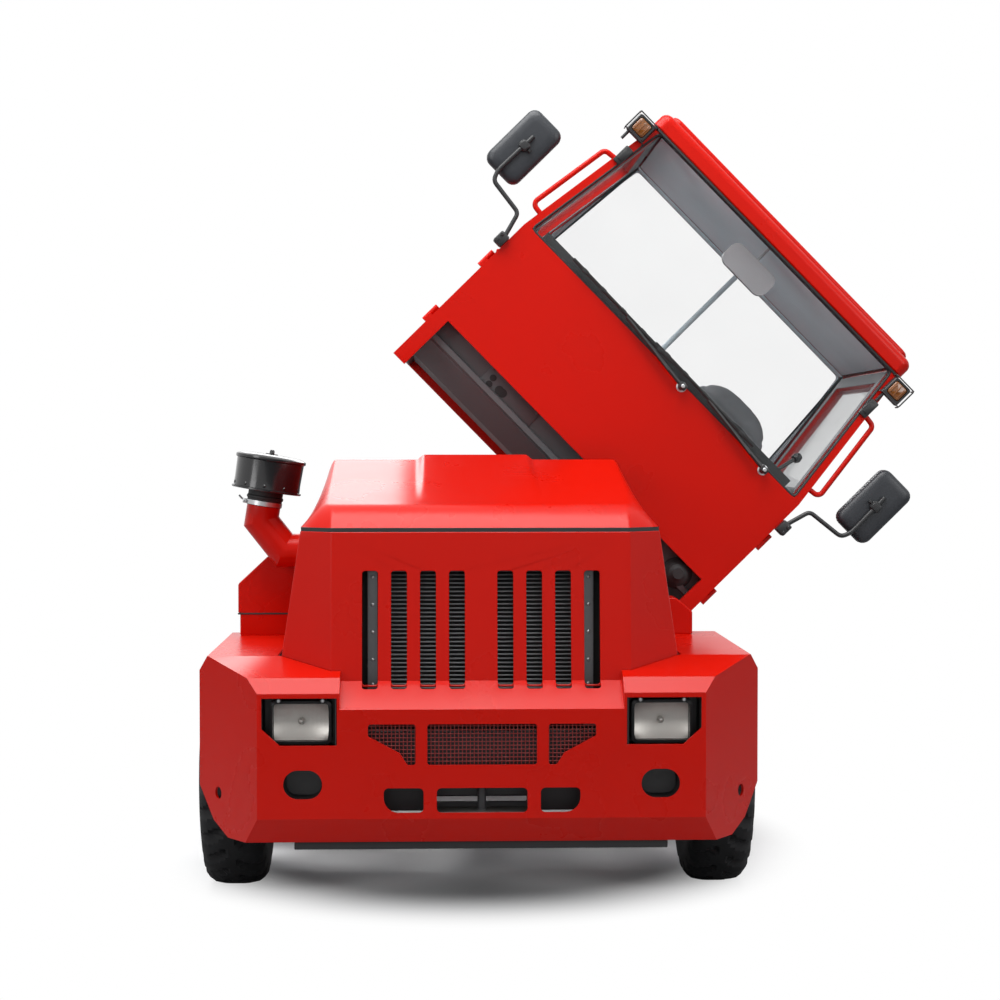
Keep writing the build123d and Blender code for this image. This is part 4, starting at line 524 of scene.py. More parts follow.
for end in ENDS:
    for side, sign in SIDES:
        low, high, middle = extent(f"tyre_{end}_{side}")
        size = high - low
        tyre(f"tyre_{end}_{side}", middle, size.z / 2, size.x / 2, f"wheel_{end}_{side}")

# %% [markdown]
# A truck wheel is held by a ring of nuts, and its hub ends in a small grease cap. They sit on
# the turned disc of the wheel, so their places follow from the wheel's own box.

# %% Wheel nuts and grease caps
NUTS = 8
NUT_RING_R = 0.097
NUT_R = 0.014
NUT_HIGH = 0.024
DISC_IN = 0.0625
CAP_PROFILE = [(0.048, -0.001), (0.048, 0.006), (0.040, 0.010), (0, 0.0105)]
CAP_HIGH = 0.0105
for end in ENDS:
    for side, sign in SIDES:
        low, high, centre = extent(f"rim_{end}_{side}")
        outside = high.x if sign > 0 else low.x
        nuts = Piece(f"wheel nuts {end} {side}")
        for i in range(NUTS):
            angle = 2 * math.pi * i / NUTS
            spot = (outside - sign * DISC_IN, centre.y + NUT_RING_R * math.cos(angle),
                    centre.z + NUT_RING_R * math.sin(angle))
            nuts.nut(NUT_R, spot, (sign, 0, 0), NUT_HIGH)
        nuts.lathe(CAP_PROFILE, (outside - sign * CAP_HIGH, centre.y, centre.z), (sign, 0, 0), 24)
        nuts.done(f"wheel_{end}_{side}", "rim_paint", zinc)

# %% [markdown]
# The headlamps are rectangular sealed units. Seen close, such a lamp is a silvered bowl behind
# a moulded front glass with upright ribs, in a black frame with screw ears. The bowl and the
# glass are grids of points whose depth is a simple formula.

# %% Headlamps
LAMP_CENTRE = (0.576, 0.676)
LAMP_SIZE = (0.184, 0.126)
LAMP_FRONT_Y = 0.034
LAMP_BACK_Y = 0.098
LAMP_CORNER_CUT = 0.045
BOWL_GRID = (28, 20)
BOWL_SHARE = 0.95
BOWL_FOOT_Y = LAMP_BACK_Y - 0.006
BOWL_DEEP = 0.040
BULB_Y = LAMP_BACK_Y - 0.010
BULB = [(0, 0), (0.010, 0), (0.011, 0.012), (0.006, 0.022), (0, 0.024)]
RIBS = 13
RIB_STEPS = 8
RIB_DEEP = 0.0020
RIB_END = 0.86
GLASS_ROWS = 16
GLASS_SHARE = 0.97
GLASS_BULGE = (0.006, 0.004)
FRAME_OUT = (0.012, 0.016)
FRAME_IN = (-0.006, 0.012)
FRAME_LIP_Y = 0.038
FRAME_BACK_Y = LAMP_BACK_Y - 0.004
EAR_AT = (0.070, 0.046, 0.070)
EAR = [(0, 0.014), (0.008, 0.013), (0.010, 0.008), (0.010, -0.04)]
SCREW = [(0, 0.0165), (0.0045, 0.0158), (0.0065, 0.0135), (0.0065, 0.0115)]


def lamp_grid(piece, sign, columns, rows, depth, share):
    part = bmesh.new()
    grid = []
    for j in range(rows + 1):
        line = []
        for i in range(columns + 1):
            u, v = 2 * i / columns - 1, 2 * j / rows - 1
            scale = share * (1 - LAMP_CORNER_CUT * (abs(u) * abs(v)) ** 4) / 2
            x = sign * LAMP_CENTRE[0] + u * scale * LAMP_SIZE[0]
            z = LAMP_CENTRE[1] + v * scale * LAMP_SIZE[1]
            line.append(part.verts.new((x, depth(u, v), z)))
        grid.append(line)
    sheet(part, grid)
    piece.take(part)


def bowl_depth(u, v):
    return BOWL_FOOT_Y - BOWL_DEEP * (u * u + v * v) / 2


def glass_depth(u, v):
    rib = RIB_DEEP * math.cos(u * math.pi * RIBS) if abs(v) < RIB_END else 0
    return LAMP_FRONT_Y + GLASS_BULGE[0] * u * u + GLASS_BULGE[1] * v * v + rib


def lamp_ring(grow, radius):
    return rounded(LAMP_SIZE[0] + grow, LAMP_SIZE[1] + grow, radius)


bowl = Piece("headlamp bowls")
glass = Piece("headlamp glass")
bezel = Piece("headlamp frames")
screws = Piece("headlamp screws")
outer, inner = lamp_ring(*FRAME_OUT), lamp_ring(*FRAME_IN)
for side, sign in SIDES:
    x, z = sign * LAMP_CENTRE[0], LAMP_CENTRE[1]
    lamp_grid(bowl, sign, *BOWL_GRID, bowl_depth, BOWL_SHARE)
    bowl.lathe(BULB, (x, BULB_Y, z), FORWARD, 16)
    lamp_grid(glass, sign, RIBS * RIB_STEPS, GLASS_ROWS, glass_depth, GLASS_SHARE)
    bezel.loft([upright(ring, x, y, z) for ring, y in (
        (outer, LAMP_BACK_Y), (outer, FRAME_LIP_Y), (inner, LAMP_FRONT_Y), (inner, FRAME_BACK_Y))],
        closed_ends=False)
    for dx in (-EAR_AT[0], EAR_AT[0]):
        spot = (x + dx, EAR_AT[1], z + EAR_AT[2])
        bezel.lathe(EAR, spot, FORWARD, 14)
        screws.lathe(SCREW, spot, FORWARD, 12)
bowl.done("chassis", "ram_chrome", silvered, sharp=60)
glass.done("chassis", "lamp_glass", stands_for=["headlamp_lenses"], sharp=60)
bezel.done("chassis", "black_plastic")
screws.done("chassis", "ram_chrome", zinc)

# %% [markdown]
# A black lip is fixed to the front edge of the skid plate and shows below the bumper.

# %% Lip of the skid plate
LIP = ((-0.600, 0.080, 0.262), (0.600, 0.0905, 0.289))
lip = Piece("skid plate lip").box(*LIP, 0.003)
lip.done("chassis", "black_rubber")

# %% [markdown]
# Below the lamps are two oblong holes for fog lamps that this tractor does without. A cup closes each
# from behind, so the road doesn't show through; its black is painted shade, the shade inside the bumper.

# %% Cups behind the lower holes
CUP_CENTRE = (0.568, 0.483)
CUP_SIZE = (0.132, 0.100)
CUP_RADIUS = 0.040
CUP_DEPTHS = ((0.0085, 1.06), (0.0115, 1.06), (0.0120, 0.97), (0.066, 0.90), (0.072, 0.84), (0.074, 0.02))
# The cups are black: painted shade inside the holes.
cups = Piece("fog lamp shade cups")
for side, sign in SIDES:
    rings = []
    for depth, scale in CUP_DEPTHS:
        ring = rounded(CUP_SIZE[0] * scale, CUP_SIZE[1] * scale, CUP_RADIUS * scale)
        rings.append(upright(ring, sign * CUP_CENTRE[0], depth, CUP_CENTRE[1]))
    cups.loft(rings, closed_ends=False)
cups.done("chassis", "black_plastic")

# %% [markdown]
# Behind the upper bumper windows is woven wire. Each wire waves over and under the ones it
# crosses, which a sine along its length gives. Wires of both directions are short tubes.

# %% Woven wire behind the bumper windows
WIRE_PITCH = 0.0125
WIRE_R = 0.0016
WIRE_WAVE = WIRE_R * 0.8
low, high, middle = extent("bumper_mesh")
across = range(int((high.x - low.x) / WIRE_PITCH) + 1)
upward = range(int((high.z - low.z) / WIRE_PITCH) + 1)


def crossing(i, j, way):
    return low.x + i * WIRE_PITCH, middle.y + way * WIRE_WAVE * (-1) ** (i + j), low.z + j * WIRE_PITCH


weave = Piece("woven wire")
for j in upward:
    weave.tube([crossing(i, j, 1) for i in across], WIRE_R, 5)
for i in across:
    weave.tube([crossing(i, j, -1) for j in upward], WIRE_R, 5)
weave.done("chassis", "wire_mesh", stands_for=["bumper_mesh"], sharp=80)

# %% [markdown]
# Through the grille slots one sees the radiator's stacked fins. Each fin is a thin folded strip, so
# it is drawn as a slanted slat standing just in front of the core. Behind the fins, a black sheet on
# the core's face and black baffles beside it are painted shade, the dark deep in the slots.

# %% Radiator fins
FIN_PITCH = 0.0137
FIN_HALF = 0.333
FIN_YS = (0.1990, 0.2125)
FIN_ZS = (0.735, 1.146)
FIN_T = 0.0050
FIN_TURN = Matrix.Rotation(math.radians(-14), 3, "X")
CORE_SHADE = ((-FIN_HALF, 0.2132, 0.730), (FIN_HALF, 0.2148, 1.150))
BAFFLE_XS = (0.369, 0.470)
BAFFLE_YS = (0.2160, 0.2185)
BAFFLE_ZS = (0.700, 1.205)
RIVET_AT = (0.352, 0.195)
RIVET_ZS = (0.78, 0.86, 0.95, 1.04, 1.13)
RIVET = [(0.0055, 0), (0.005, 0.002), (0.003, 0.0035), (0, 0.004)]
fins = Piece("radiator fins")
fin_z = FIN_ZS[0]
while fin_z < FIN_ZS[1]:
    fins.box((-FIN_HALF, FIN_YS[0], fin_z), (FIN_HALF, FIN_YS[1], fin_z + FIN_T), 0.001, FIN_TURN)
    fin_z += FIN_PITCH
fins.done("chassis", "radiator_metal")
# The core's face is covered by a dead black sheet: painted shade between the fins.
dark = Piece("radiator shade sheet").box(*CORE_SHADE, 0.0004)
rivets = Piece("radiator frame rivets")
for side, sign in SIDES:
    near, far = ((sign * x, y, z) for x, y, z in zip(BAFFLE_XS, BAFFLE_YS, BAFFLE_ZS))
    # The black baffles beside the core are painted shade too.
    dark.box(near, far, 0.0005)
    for z in RIVET_ZS:
        rivets.lathe(RIVET, (sign * RIVET_AT[0], RIVET_AT[1], z), FORWARD, 12)
dark.done("chassis", "radiator_metal", painted_core_shade)
rivets.done("chassis", "ram_chrome", zinc)

# %% [markdown]
# The hood lid is one pressing with rolled edges and a raised panel in its middle. It is drawn
# as a height over a grid: the lowest of a top slope, two side slopes and a nose slope wins,
# and a soft minimum rounds the edge wherever two slopes meet. A second skin just inside gives
# the sheet its thickness.

# %% Hood lid
LID_FOOT_Z = 1.29
LID_HALF = 0.588
LID_TOP_HALF = 0.52
LID_NOSE = (0.23, 1.356)
LID_REAR = (1.05, 1.507)
LID_FRONT_Y = 0.164
LID_CORNER_Y = 0.244
LID_FLAT_HALF = 0.484
LID_SHEET = 0.006
LID_ROLL = 0.040
PANEL_HALF = 0.215
PANEL_RISE = 0.018
PANEL_EDGE = 0.030
PANEL_FRONT_Y = 0.3
LID_GRID = (168, 110)
LID_CROWDING = 1.5
LID_PIN = (1.064, 1.480)
LID_PIN_R = 0.010
LID_EYE_XS = ((-0.3497, -0.310), (0.3503, 0.390))
LID_EYE_HALF = 0.008
SAME_POINT = 0.00001


def soft_min(one, two, reach):
    blend = max(reach - abs(one - two), 0) / reach
    return min(one, two) - blend * blend * reach / 4


def lid_front(x):
    back = max(0, abs(x) - LID_FLAT_HALF) / (LID_HALF - LID_FLAT_HALF)
    return LID_FRONT_Y + back * (LID_CORNER_Y - LID_FRONT_Y)


def lid_height(x, y):
    """Height of the sheet above the lid's foot."""
    climb = (LID_REAR[1] - LID_NOSE[1]) / (LID_REAR[0] - LID_NOSE[0])
    top = LID_NOSE[1] + (y - LID_NOSE[0]) * climb - LID_FOOT_Z
    side = (LID_HALF - abs(x)) * top / (LID_HALF - LID_TOP_HALF)
    rake = (LID_NOSE[0] - LID_FRONT_Y) / (LID_NOSE[1] - LID_FOOT_Z)
    nose = (y - lid_front(x)) / rake
    panel = 1 - smooth_step(PANEL_HALF - PANEL_EDGE, PANEL_HALF, abs(x))
    along = min(1, max(0, (y - PANEL_FRONT_Y) / (LID_REAR[0] - PANEL_FRONT_Y)))
    height = soft_min(soft_min(top, side, LID_ROLL), nose, LID_ROLL)
    return max(0, height) + PANEL_RISE * panel * along


lid = Piece("hood lid skin")
part = bmesh.new()
skins = []
for deep in (0, LID_SHEET):
    rows = []
    for j in range(LID_GRID[1] + 1):
        row = []
        for i in range(LID_GRID[0] + 1):
            x = (LID_HALF - deep) * (2 * i / LID_GRID[0] - 1)
            front = lid_front(x) + deep
            y = front + (LID_REAR[0] - deep - front) * (j / LID_GRID[1]) ** LID_CROWDING
            lift = max(0, lid_height(x, y) - deep)
            row.append(part.verts.new((x, y, LID_FOOT_Z + lift)))
        rows.append(row)
    rows.append([part.verts.new((v.co.x, v.co.y, LID_FOOT_Z)) for v in rows[-1]])
    skins.append(rows)
    sheet(part, rows)
outer, inner = ([rows[0], [row[-1] for row in rows], rows[-1][::-1], [row[0] for row in rows][::-1]]
                for rows in skins)
for edges in zip(outer, inner):
    sheet(part, edges)
bmesh.ops.remove_doubles(part, verts=part.verts[:], dist=SAME_POINT)
lid.take(part)
for start, end in LID_EYE_XS:
    lid.box((start, LID_REAR[0] - LID_SHEET, LID_PIN[1] - LID_EYE_HALF),
            (end, LID_PIN[0], LID_PIN[1] + LID_EYE_HALF), 0.002)
    lid.tube([(start, *LID_PIN), (end, *LID_PIN)], LID_PIN_R, 20)
lid.done("hood", "red_paint", stands_for=["hood_lid"], sharp=50)

# %% [markdown]
# The air cleaner's first stage is a black drum with a rolled rim, on a rubber neck held by
# band clamps. All of it is turned, so a profile and a lathe give it in one step. A knob holds
# its lid, and small screws go round the foot.

# %% Air intake drum
DRUM_CENTRE = Vector((-0.745, 0.950, 1.462))
DRUM_R = 0.1265
DRUM_HALF = 0.0685
DRUM_LEAN = math.radians(9)
DRUM_KNOB = [(0.022, 0.064), (0.022, 0.067), (0.009, 0.068), (0.009, 0.076), (0.006, 0.081), (0, 0.082)]
DRUM_SCREWS = 10
DRUM_SCREW_R = DRUM_R - 0.009
DRUM_SCREW_Z = -0.050
DRUM_SCREW = [(0.006, 0), (0.006, 0.002), (0.004, 0.004), (0, 0.0045)]
CLAMP_Z = -0.114
CLAMP_RS = (0.062, 0.0645)
CLAMP_HALF = 0.008
lean = CHASSIS @ Matrix.Translation(DRUM_CENTRE) @ Matrix.Rotation(DRUM_LEAN, 4, "Y")
drum = Piece("pre-cleaner drum", lean)
drum.lathe([
    (0, -DRUM_HALF), (DRUM_R - 0.004, -DRUM_HALF), (DRUM_R - 0.001, -DRUM_HALF + 0.002),
    (DRUM_R - 0.001, -DRUM_HALF + 0.007), (DRUM_R - 0.007, -DRUM_HALF + 0.009), (DRUM_R - 0.008, -0.030),
    (DRUM_R - 0.006, 0.040), (DRUM_R - 0.0005, 0.043), (DRUM_R, 0.046), (DRUM_R - 0.0005, 0.053),
    (DRUM_R - 0.008, 0.057), (DRUM_R - 0.020, 0.061), (0.060, 0.0645), (0, 0.0645)], (0, 0, 0), steps=72)
drum.lathe(DRUM_KNOB, (0, 0, 0), steps=24)
for i in range(DRUM_SCREWS):
    angle = 2 * math.pi * (i + 0.5) / DRUM_SCREWS
    ray = Vector((math.cos(angle), math.sin(angle), 0))
    drum.lathe(DRUM_SCREW, ray * DRUM_SCREW_R + Vector((0, 0, DRUM_SCREW_Z)), ray, 10)
drum.done("chassis", "black_plastic", gloss_black, ["pre_cleaner"])
neck = Piece("pre-cleaner neck", lean)
neck.lathe([(0.058, -0.1235), (0.062, -0.1235), (0.0625, -0.100), (0.066, -0.096), (0.066, -0.090),
            (0.0625, -0.086), (0.0625, -0.070), (0.058, -0.068)], (0, 0, 0), steps=48)
neck.done("chassis", "black_rubber")
clamp = Piece("pre-cleaner clamps", lean)
band = (CLAMP_Z - CLAMP_HALF, CLAMP_Z + CLAMP_HALF)
clamp.lathe([(CLAMP_RS[0], band[0]), (CLAMP_RS[1], band[0]), (CLAMP_RS[1], band[1]), (CLAMP_RS[0], band[1])],
            (0, 0, 0), steps=48)
clamp.box((-0.076, -0.018, band[0]), (-0.062, 0.018, band[1]), 0.002)
clamp.tube([(-0.072, -0.024, CLAMP_Z), (-0.072, 0.030, CLAMP_Z)], 0.003, 8)
clamp.tube([(-0.066, 0, CLAMP_Z), (-0.082, 0, CLAMP_Z + 0.006), (-0.094, 0, CLAMP_Z + 0.016)], 0.0035, 8)
clamp.done("chassis", "ram_chrome", zinc)

# %% [markdown]
# The side box has a lid, and a rubber strip lies in the seam under it.

# %% Seam of the side box
SEAM = ((-0.864, 1.0075, 0.943), (-0.600, 1.0125, 0.949))
seam = Piece("side box seam").box(*SEAM, 0.001)
seam.done("chassis", "black_rubber")

# %% [markdown]
# The windscreen and the rear panes sit in soft beads, black in front and pale behind. A bead
# along the opening's edge hides the joint of glass and sheet, as the real profile does. The
# outline is the same trapezoid that cuts the wall. A black strip across the windscreen's head is
# painted shade, for the gap under the roof's edge.

# %% Rubber round the windows
BELT_Z = 1.553
CAB_HALF = 0.732
ROOF_HALF = 0.650
SEAM_Z = 2.160
CAB_FRONT_Y = 1.150
CAB_REAR_Y = 2.100
CAB_WALL = 0.030
SCREEN = (1.562, 2.152, 0.030)
REAR_PANE = (1.695, 2.152, 0.048)
MULLION_HALF = 0.007
BEAD_IN = 0.003
BEAD_BEND = 0.020
SCREEN_BEAD_R = 0.0045
REAR_BEAD_R = 0.0035
HEAD_SHADE_STRIP_YS = (1.1445, 1.1502)
HEAD_SHADE_STRIP_ZS = (2.1500, 2.1595)


def pillar_x(z):
    """Half the cab's width at a height: straight below the belt, leaning in above it."""
    return CAB_HALF - max(0, z - BELT_Z) * (CAB_HALF - ROOF_HALF) / (SEAM_Z - BELT_Z)


def opening(window):
    z0, z1, inset = window
    return z0, z1, pillar_x(z0) - inset, pillar_x(z1) - inset


def frame_bead(piece, corners, y, radius):
    points = [(x, y, z) for x, z in corners]
    route = bent([points[-1]] + points + [points[0]], BEAD_BEND)[1:-1]
    piece.tube(route, radius, 8, closed=True)


beads = Piece("window rubber and head shade strip", CAB)
z0, z1, foot, top = opening(SCREEN)
for y in (CAB_FRONT_Y + BEAD_IN, CAB_FRONT_Y + CAB_WALL - BEAD_IN):
    frame_bead(beads, [(-foot, z0), (foot, z0), (top, z1), (-top, z1)], y, SCREEN_BEAD_R)
# A black strip across the head of the windscreen is painted shade: the shadow in the gap under the roof's
# edge.
shade_strip_x = pillar_x(2.155)
beads.box((-shade_strip_x, HEAD_SHADE_STRIP_YS[0], HEAD_SHADE_STRIP_ZS[0]), (shade_strip_x, HEAD_SHADE_STRIP_YS[1], HEAD_SHADE_STRIP_ZS[1]), 0.002)
beads.done("cab", "black_rubber")
rear_beads = Piece("rear window seal", CAB)
z0, z1, foot, top = opening(REAR_PANE)
for y in (CAB_REAR_Y - BEAD_IN, CAB_REAR_Y - CAB_WALL + BEAD_IN):
    for side, sign in SIDES:
        inner = sign * MULLION_HALF
        frame_bead(rear_beads, [(inner, z0), (sign * foot, z0), (sign * top, z1), (inner, z1)], y, REAR_BEAD_R)
rear_beads.done("cab", "cab_grey", lining)

# %% [markdown]
# Inside, the roof and the rear wall are lined with pale board. It matters more than its size
# suggests: through the windscreen one sees mostly this lining, and without it the glass would
# look red. The wall's board is a ring round the rear panes, and each door has a grey board of
# its own with an armrest.

# %% Cab lining
CEILING = ((-0.606, 1.181, 2.163), (0.606, 2.068, 2.169))
LINING_YS = (2.064, 2.069)
LINING_ZS = (0.96, 2.161)
LINING_IN = 0.036
MULLION_YS = (2.063, 2.0695)
DOOR_T = 0.036
BOARD_DEEP = (0.0005, 0.0035)
BOARD_YS = (1.190, 2.046)
BOARD_TOP_Z = 2.148
BOARD_FOOT_Z = 0.965
BOARD_HOLE_YS = (1.239, 1.997)
BOARD_HOLE_ZS = (1.600, 2.097)
ARMREST_YS = (1.480, 1.860)
ARMREST_ZS = (1.330, 1.375)
ARMREST_OUT = 0.040


def rectangle(across, upward):
    return [(across[0], upward[0]), (across[1], upward[0]), (across[1], upward[1]), (across[0], upward[1])]


def ring_board(piece, edge, hole, back, face):
    """A flat board with a hole. Back and face turn a point of the outline into a place."""
    layers = ((edge, back), (edge, face), (hole, face), (hole, back), (edge, back))
    piece.loft([[place(*point) for point in ring] for ring, place in layers], closed_ends=False)


lined = Piece("cab lining", CAB).box(*CEILING, 0.002)
z0, z1, foot, top = opening(REAR_PANE)
low_x, high_x = (pillar_x(z) - LINING_IN for z in LINING_ZS)
edge = [(-low_x, LINING_ZS[0]), (low_x, LINING_ZS[0]), (high_x, LINING_ZS[1]), (-high_x, LINING_ZS[1])]
hole = [(-foot, z0), (foot, z0), (top, z1), (-top, z1)]
ring_board(lined, edge, hole, lambda x, z: (x, LINING_YS[1], z), lambda x, z: (x, LINING_YS[0], z))
lined.box((-MULLION_HALF, MULLION_YS[0], z0), (MULLION_HALF, MULLION_YS[1], z1), 0.002)
lined.done("cab", "cab_grey", lining)
nodes["interior_mirror"].data.materials[0] = finishes["rim_paint"]
for side, sign in SIDES:
    board = Piece(f"door lining {side}", CAB)
    back, face = (lambda y, z, deep=deep: (sign * (pillar_x(z) - DOOR_T - deep), y, z) for deep in BOARD_DEEP)
    ring_board(board, rectangle(BOARD_YS, (BELT_Z, BOARD_TOP_Z)),
               rectangle(BOARD_HOLE_YS, BOARD_HOLE_ZS), back, face)
    inner = sign * (CAB_HALF - DOOR_T)
    board.box((inner - sign * 0.004, BOARD_YS[0], BOARD_FOOT_Z),
              (inner - sign * 0.0003, BOARD_YS[1], BELT_Z - 0.004), 0.0015)
    board.box((inner - sign * ARMREST_OUT, ARMREST_YS[0], ARMREST_ZS[0]),
              (inner - sign * 0.003, ARMREST_YS[1], ARMREST_ZS[1]), 0.012)
    board.done(f"door_{side}", "cab_grey", door_board)

# %% [markdown]
# Cables and a shift rod pass the fire wall below the front panel. A bolted cover with rubber
# plugs closes the holes, and a folded boot covers the rod. A boot is a turned zigzag.

# %% Grommets and the shift boot
FIRE_WALL_Y = 1.220
BOOT_AT = (0.600, FIRE_WALL_Y, 1.053)
BOOT_FOLDS = 4
BOOT_FOOT = [(0.060, 0.0), (0.060, 0.004)]
BOOT_TIP = [(0.022, 0.058), (0.020, 0.066), (0, 0.066)]
FOLD_R = 0.054
FOLD_NARROWS = 0.006
FOLD_PITCH = 0.012
FOLD = ((-0.011, 0.007), (0, 0.012), (0, 0.015))
COVER_FACE_Y = FIRE_WALL_Y - 0.0035
COVER = ((-0.440, COVER_FACE_Y, 1.028), (-0.185, FIRE_WALL_Y, 1.106))
COVER_BOLT_XS = (-0.430, -0.196)
COVER_BOLT_ZS = (1.038, 1.096)
PLUGS = ((-0.402, 1.047, 0.010), (-0.407, 1.074, 0.010), (-0.358, 1.058, 0.014), (-0.342, 1.059, 0.014))
PLUG_RIM = 0.003
boot = Piece("fire wall rubber", CAB)
profile = BOOT_FOOT[:]
for i in range(BOOT_FOLDS):
    profile += [(FOLD_R - FOLD_NARROWS * i + wide, FOLD_PITCH * i + out) for wide, out in FOLD]
boot.lathe(profile + BOOT_TIP, BOOT_AT, FORWARD, 32)
for x, z, radius in PLUGS:
    rim = radius + PLUG_RIM
    boot.lathe([(rim, 0), (rim, 0.0015), (radius, 0.002), (0, 0.0015)], (x, COVER_FACE_Y, z), FORWARD, 20)
boot.done("cab", "black_rubber")
cover = Piece("fire wall cover", CAB).box(*COVER, 0.001)
for x in COVER_BOLT_XS:
    for z in COVER_BOLT_ZS:
        cover.nut(0.005, (x, COVER_FACE_Y, z), FORWARD, 0.004)
cover.done("cab", "cab_grey")

# %% [markdown]
# Two wipers lie along the foot of the windscreen. Each is a turned pivot cap, a tapering arm,
# and a blade in its carrier with two claws.

# %% Wipers
PIVOT_XS = (0.108, 0.543)
PIVOT_Z = BELT_Z - 0.004
PIVOT = [(0.013, 0), (0.013, 0.012), (0.010, 0.018), (0.010, 0.036), (0.007, 0.041), (0, 0.042)]
WIPER_ARM = ((0, 1.119, 0), (-0.10, 1.121, 0.010), (-0.33, 1.124, 0.034))
WIPER_SPRING = ((-0.08, 1.114, 0.004), (-0.20, 1.114, 0.020))
WIPER_HEAD = ((-0.016, 1.108, -0.010), (0.016, 1.124, 0.014))
BLADE = ((-0.62, 1.128, 0.043), (-0.09, 1.128, 0.036))
BLADE_LIP = Vector((0.01, 0.010, 0.004))
CLAW_SHARES = (0.12, 0.30, 0.5, 0.70, 0.88)
CLAW = (Vector((0.012, 0.006, 0.008)), Vector((0.012, 0.010, 0.008)))
SPINE_RISE = Vector((0, -0.010, 0))
COLLAR = [(0.020, 0), (0.020, 0.003), (0.014, 0.005)]
wipers = Piece("wiper arms", CAB)
shafts = Piece("wiper shaft nuts", CAB)
for x in PIVOT_XS:
    arm, spring, head, blade = ([Vector((x + dx, y, PIVOT_Z + dz)) for dx, y, dz in points]
                                for points in (WIPER_ARM, WIPER_SPRING, WIPER_HEAD, BLADE))
    start, end = blade
    wipers.lathe(PIVOT, (x, CAB_FRONT_Y, PIVOT_Z), FORWARD, 20)
    wipers.tube(arm, 0.0075, 8)
    wipers.tube(spring, 0.0035, 8)
    wipers.box(*head, 0.004)
    wipers.tube(blade, 0.0065, 6)
    lip_end = end + Vector((-BLADE_LIP.x, BLADE_LIP.y, BLADE_LIP.z))
    wipers.tube([start + BLADE_LIP, lip_end], 0.0030, 6)
    claws = [start.lerp(end, share) for share in CLAW_SHARES]
    for spot in claws:
        wipers.box(spot - CLAW[0], spot + CLAW[1], 0.002)
    wipers.tube(bent([claws[0], claws[2] + SPINE_RISE, claws[-1]], 0.08), 0.0035, 6)
    shafts.nut(0.008, (x, 1.109, BELT_Z - 0.002), FORWARD, 0.006)
    shafts.lathe(COLLAR, (x, CAB_FRONT_Y, PIVOT_Z), FORWARD, 20)
wipers.done("cab", "black_plastic", stands_for=["wipers"])
shafts.done("cab", "ram_chrome", zinc)

# %% [markdown]
# The door mirrors hang on bent tubes. A moulded shell with a domed back faces forward and the
# looking glass faces the driver. The shell is a loft of rounded rectangles that shrink towards
# the dome.

# %% Door mirrors
MIRROR_SIZE = (0.160, 0.270)
MIRROR_RADIUS = 0.034
MIRROR_OUT = 0.206
MIRROR_RISE = 0.202
MIRROR_SHELL = ((1.1992, 0.97), (1.1985, 1.0), (1.182, 1.0), (1.168, 0.985), (1.160, 0.95), (1.153, 0.86),
                (1.149, 0.70), (1.1475, 0.45))
MIRROR_GLASS_YS = (1.1980, 1.1996)
ARM_Y = CAB_FRONT_Y - 0.012
ARM_RUN = ((0.015, -0.095), (0.045, 0.012), (0.194, 0.030), (0.210, 0.068), (0.206, 0.250))
ARM_R = 0.0085
ARM_FOOT_ZS = (BELT_Z - 0.125, BELT_Z - 0.075)
ARM_BOLT_ZS = (BELT_Z - 0.113, BELT_Z - 0.087)
ARM_BALL = [(0.016, -0.002), (0.022, 0.006), (0.022, 0.014), (0.014, 0.024), (0, 0.025)]
arms = Piece("mirror arms", CAB)
shells = Piece("mirror shells", CAB)
faces = Piece("mirror faces", CAB)
for side, sign in SIDES:
    arms.tube(bent([(sign * (CAB_HALF + dx), ARM_Y, BELT_Z + dz) for dx, dz in ARM_RUN], 0.018), ARM_R, 12)
    arms.box((sign * CAB_HALF, ARM_Y - 0.014, ARM_FOOT_ZS[0]),
             (sign * (CAB_HALF + 0.040), 1.178, ARM_FOOT_ZS[1]), 0.006)
    for z in ARM_BOLT_ZS:
        arms.nut(0.007, (sign * (CAB_HALF + 0.030), ARM_Y - 0.013, z), FORWARD, 0.007)
    x, z = sign * (CAB_HALF + MIRROR_OUT), BELT_Z + MIRROR_RISE
    arms.lathe(ARM_BALL, (x, ARM_Y + 0.012, z), FORWARD, 20)
    arms.box((x - 0.018, ARM_Y - 0.011, z - 0.016), (x + 0.018, ARM_Y + 0.012, z + 0.016), 0.005)
    arms.nut(0.008, (x - sign * 0.022, ARM_Y, z), (-sign, 0, 0), 0.012)
    rings = []
    for depth, scale in MIRROR_SHELL:
        ring = rounded(MIRROR_SIZE[0] * scale, MIRROR_SIZE[1] * (0.5 + 0.5 * scale), MIRROR_RADIUS * scale)
        rings.append(upright(ring, x, depth, z))
    shells.loft(rings)
    ring = rounded(MIRROR_SIZE[0] * 0.92, MIRROR_SIZE[1] * 0.95, MIRROR_RADIUS * 0.9)
    faces.loft([upright(ring, x, depth, z) for depth in MIRROR_GLASS_YS])
arms.done("cab", "black_plastic")
shells.done("cab", "black_plastic", slate, ["door_mirrors"])
faces.done("cab", "ram_chrome", looking_glass)

# %% [markdown]
# The amber corner lamps stand out from the roof's front corners and are fenced with wire so
# that a passing hangar door doesn't take them off. Lens, body and guard are three pieces.

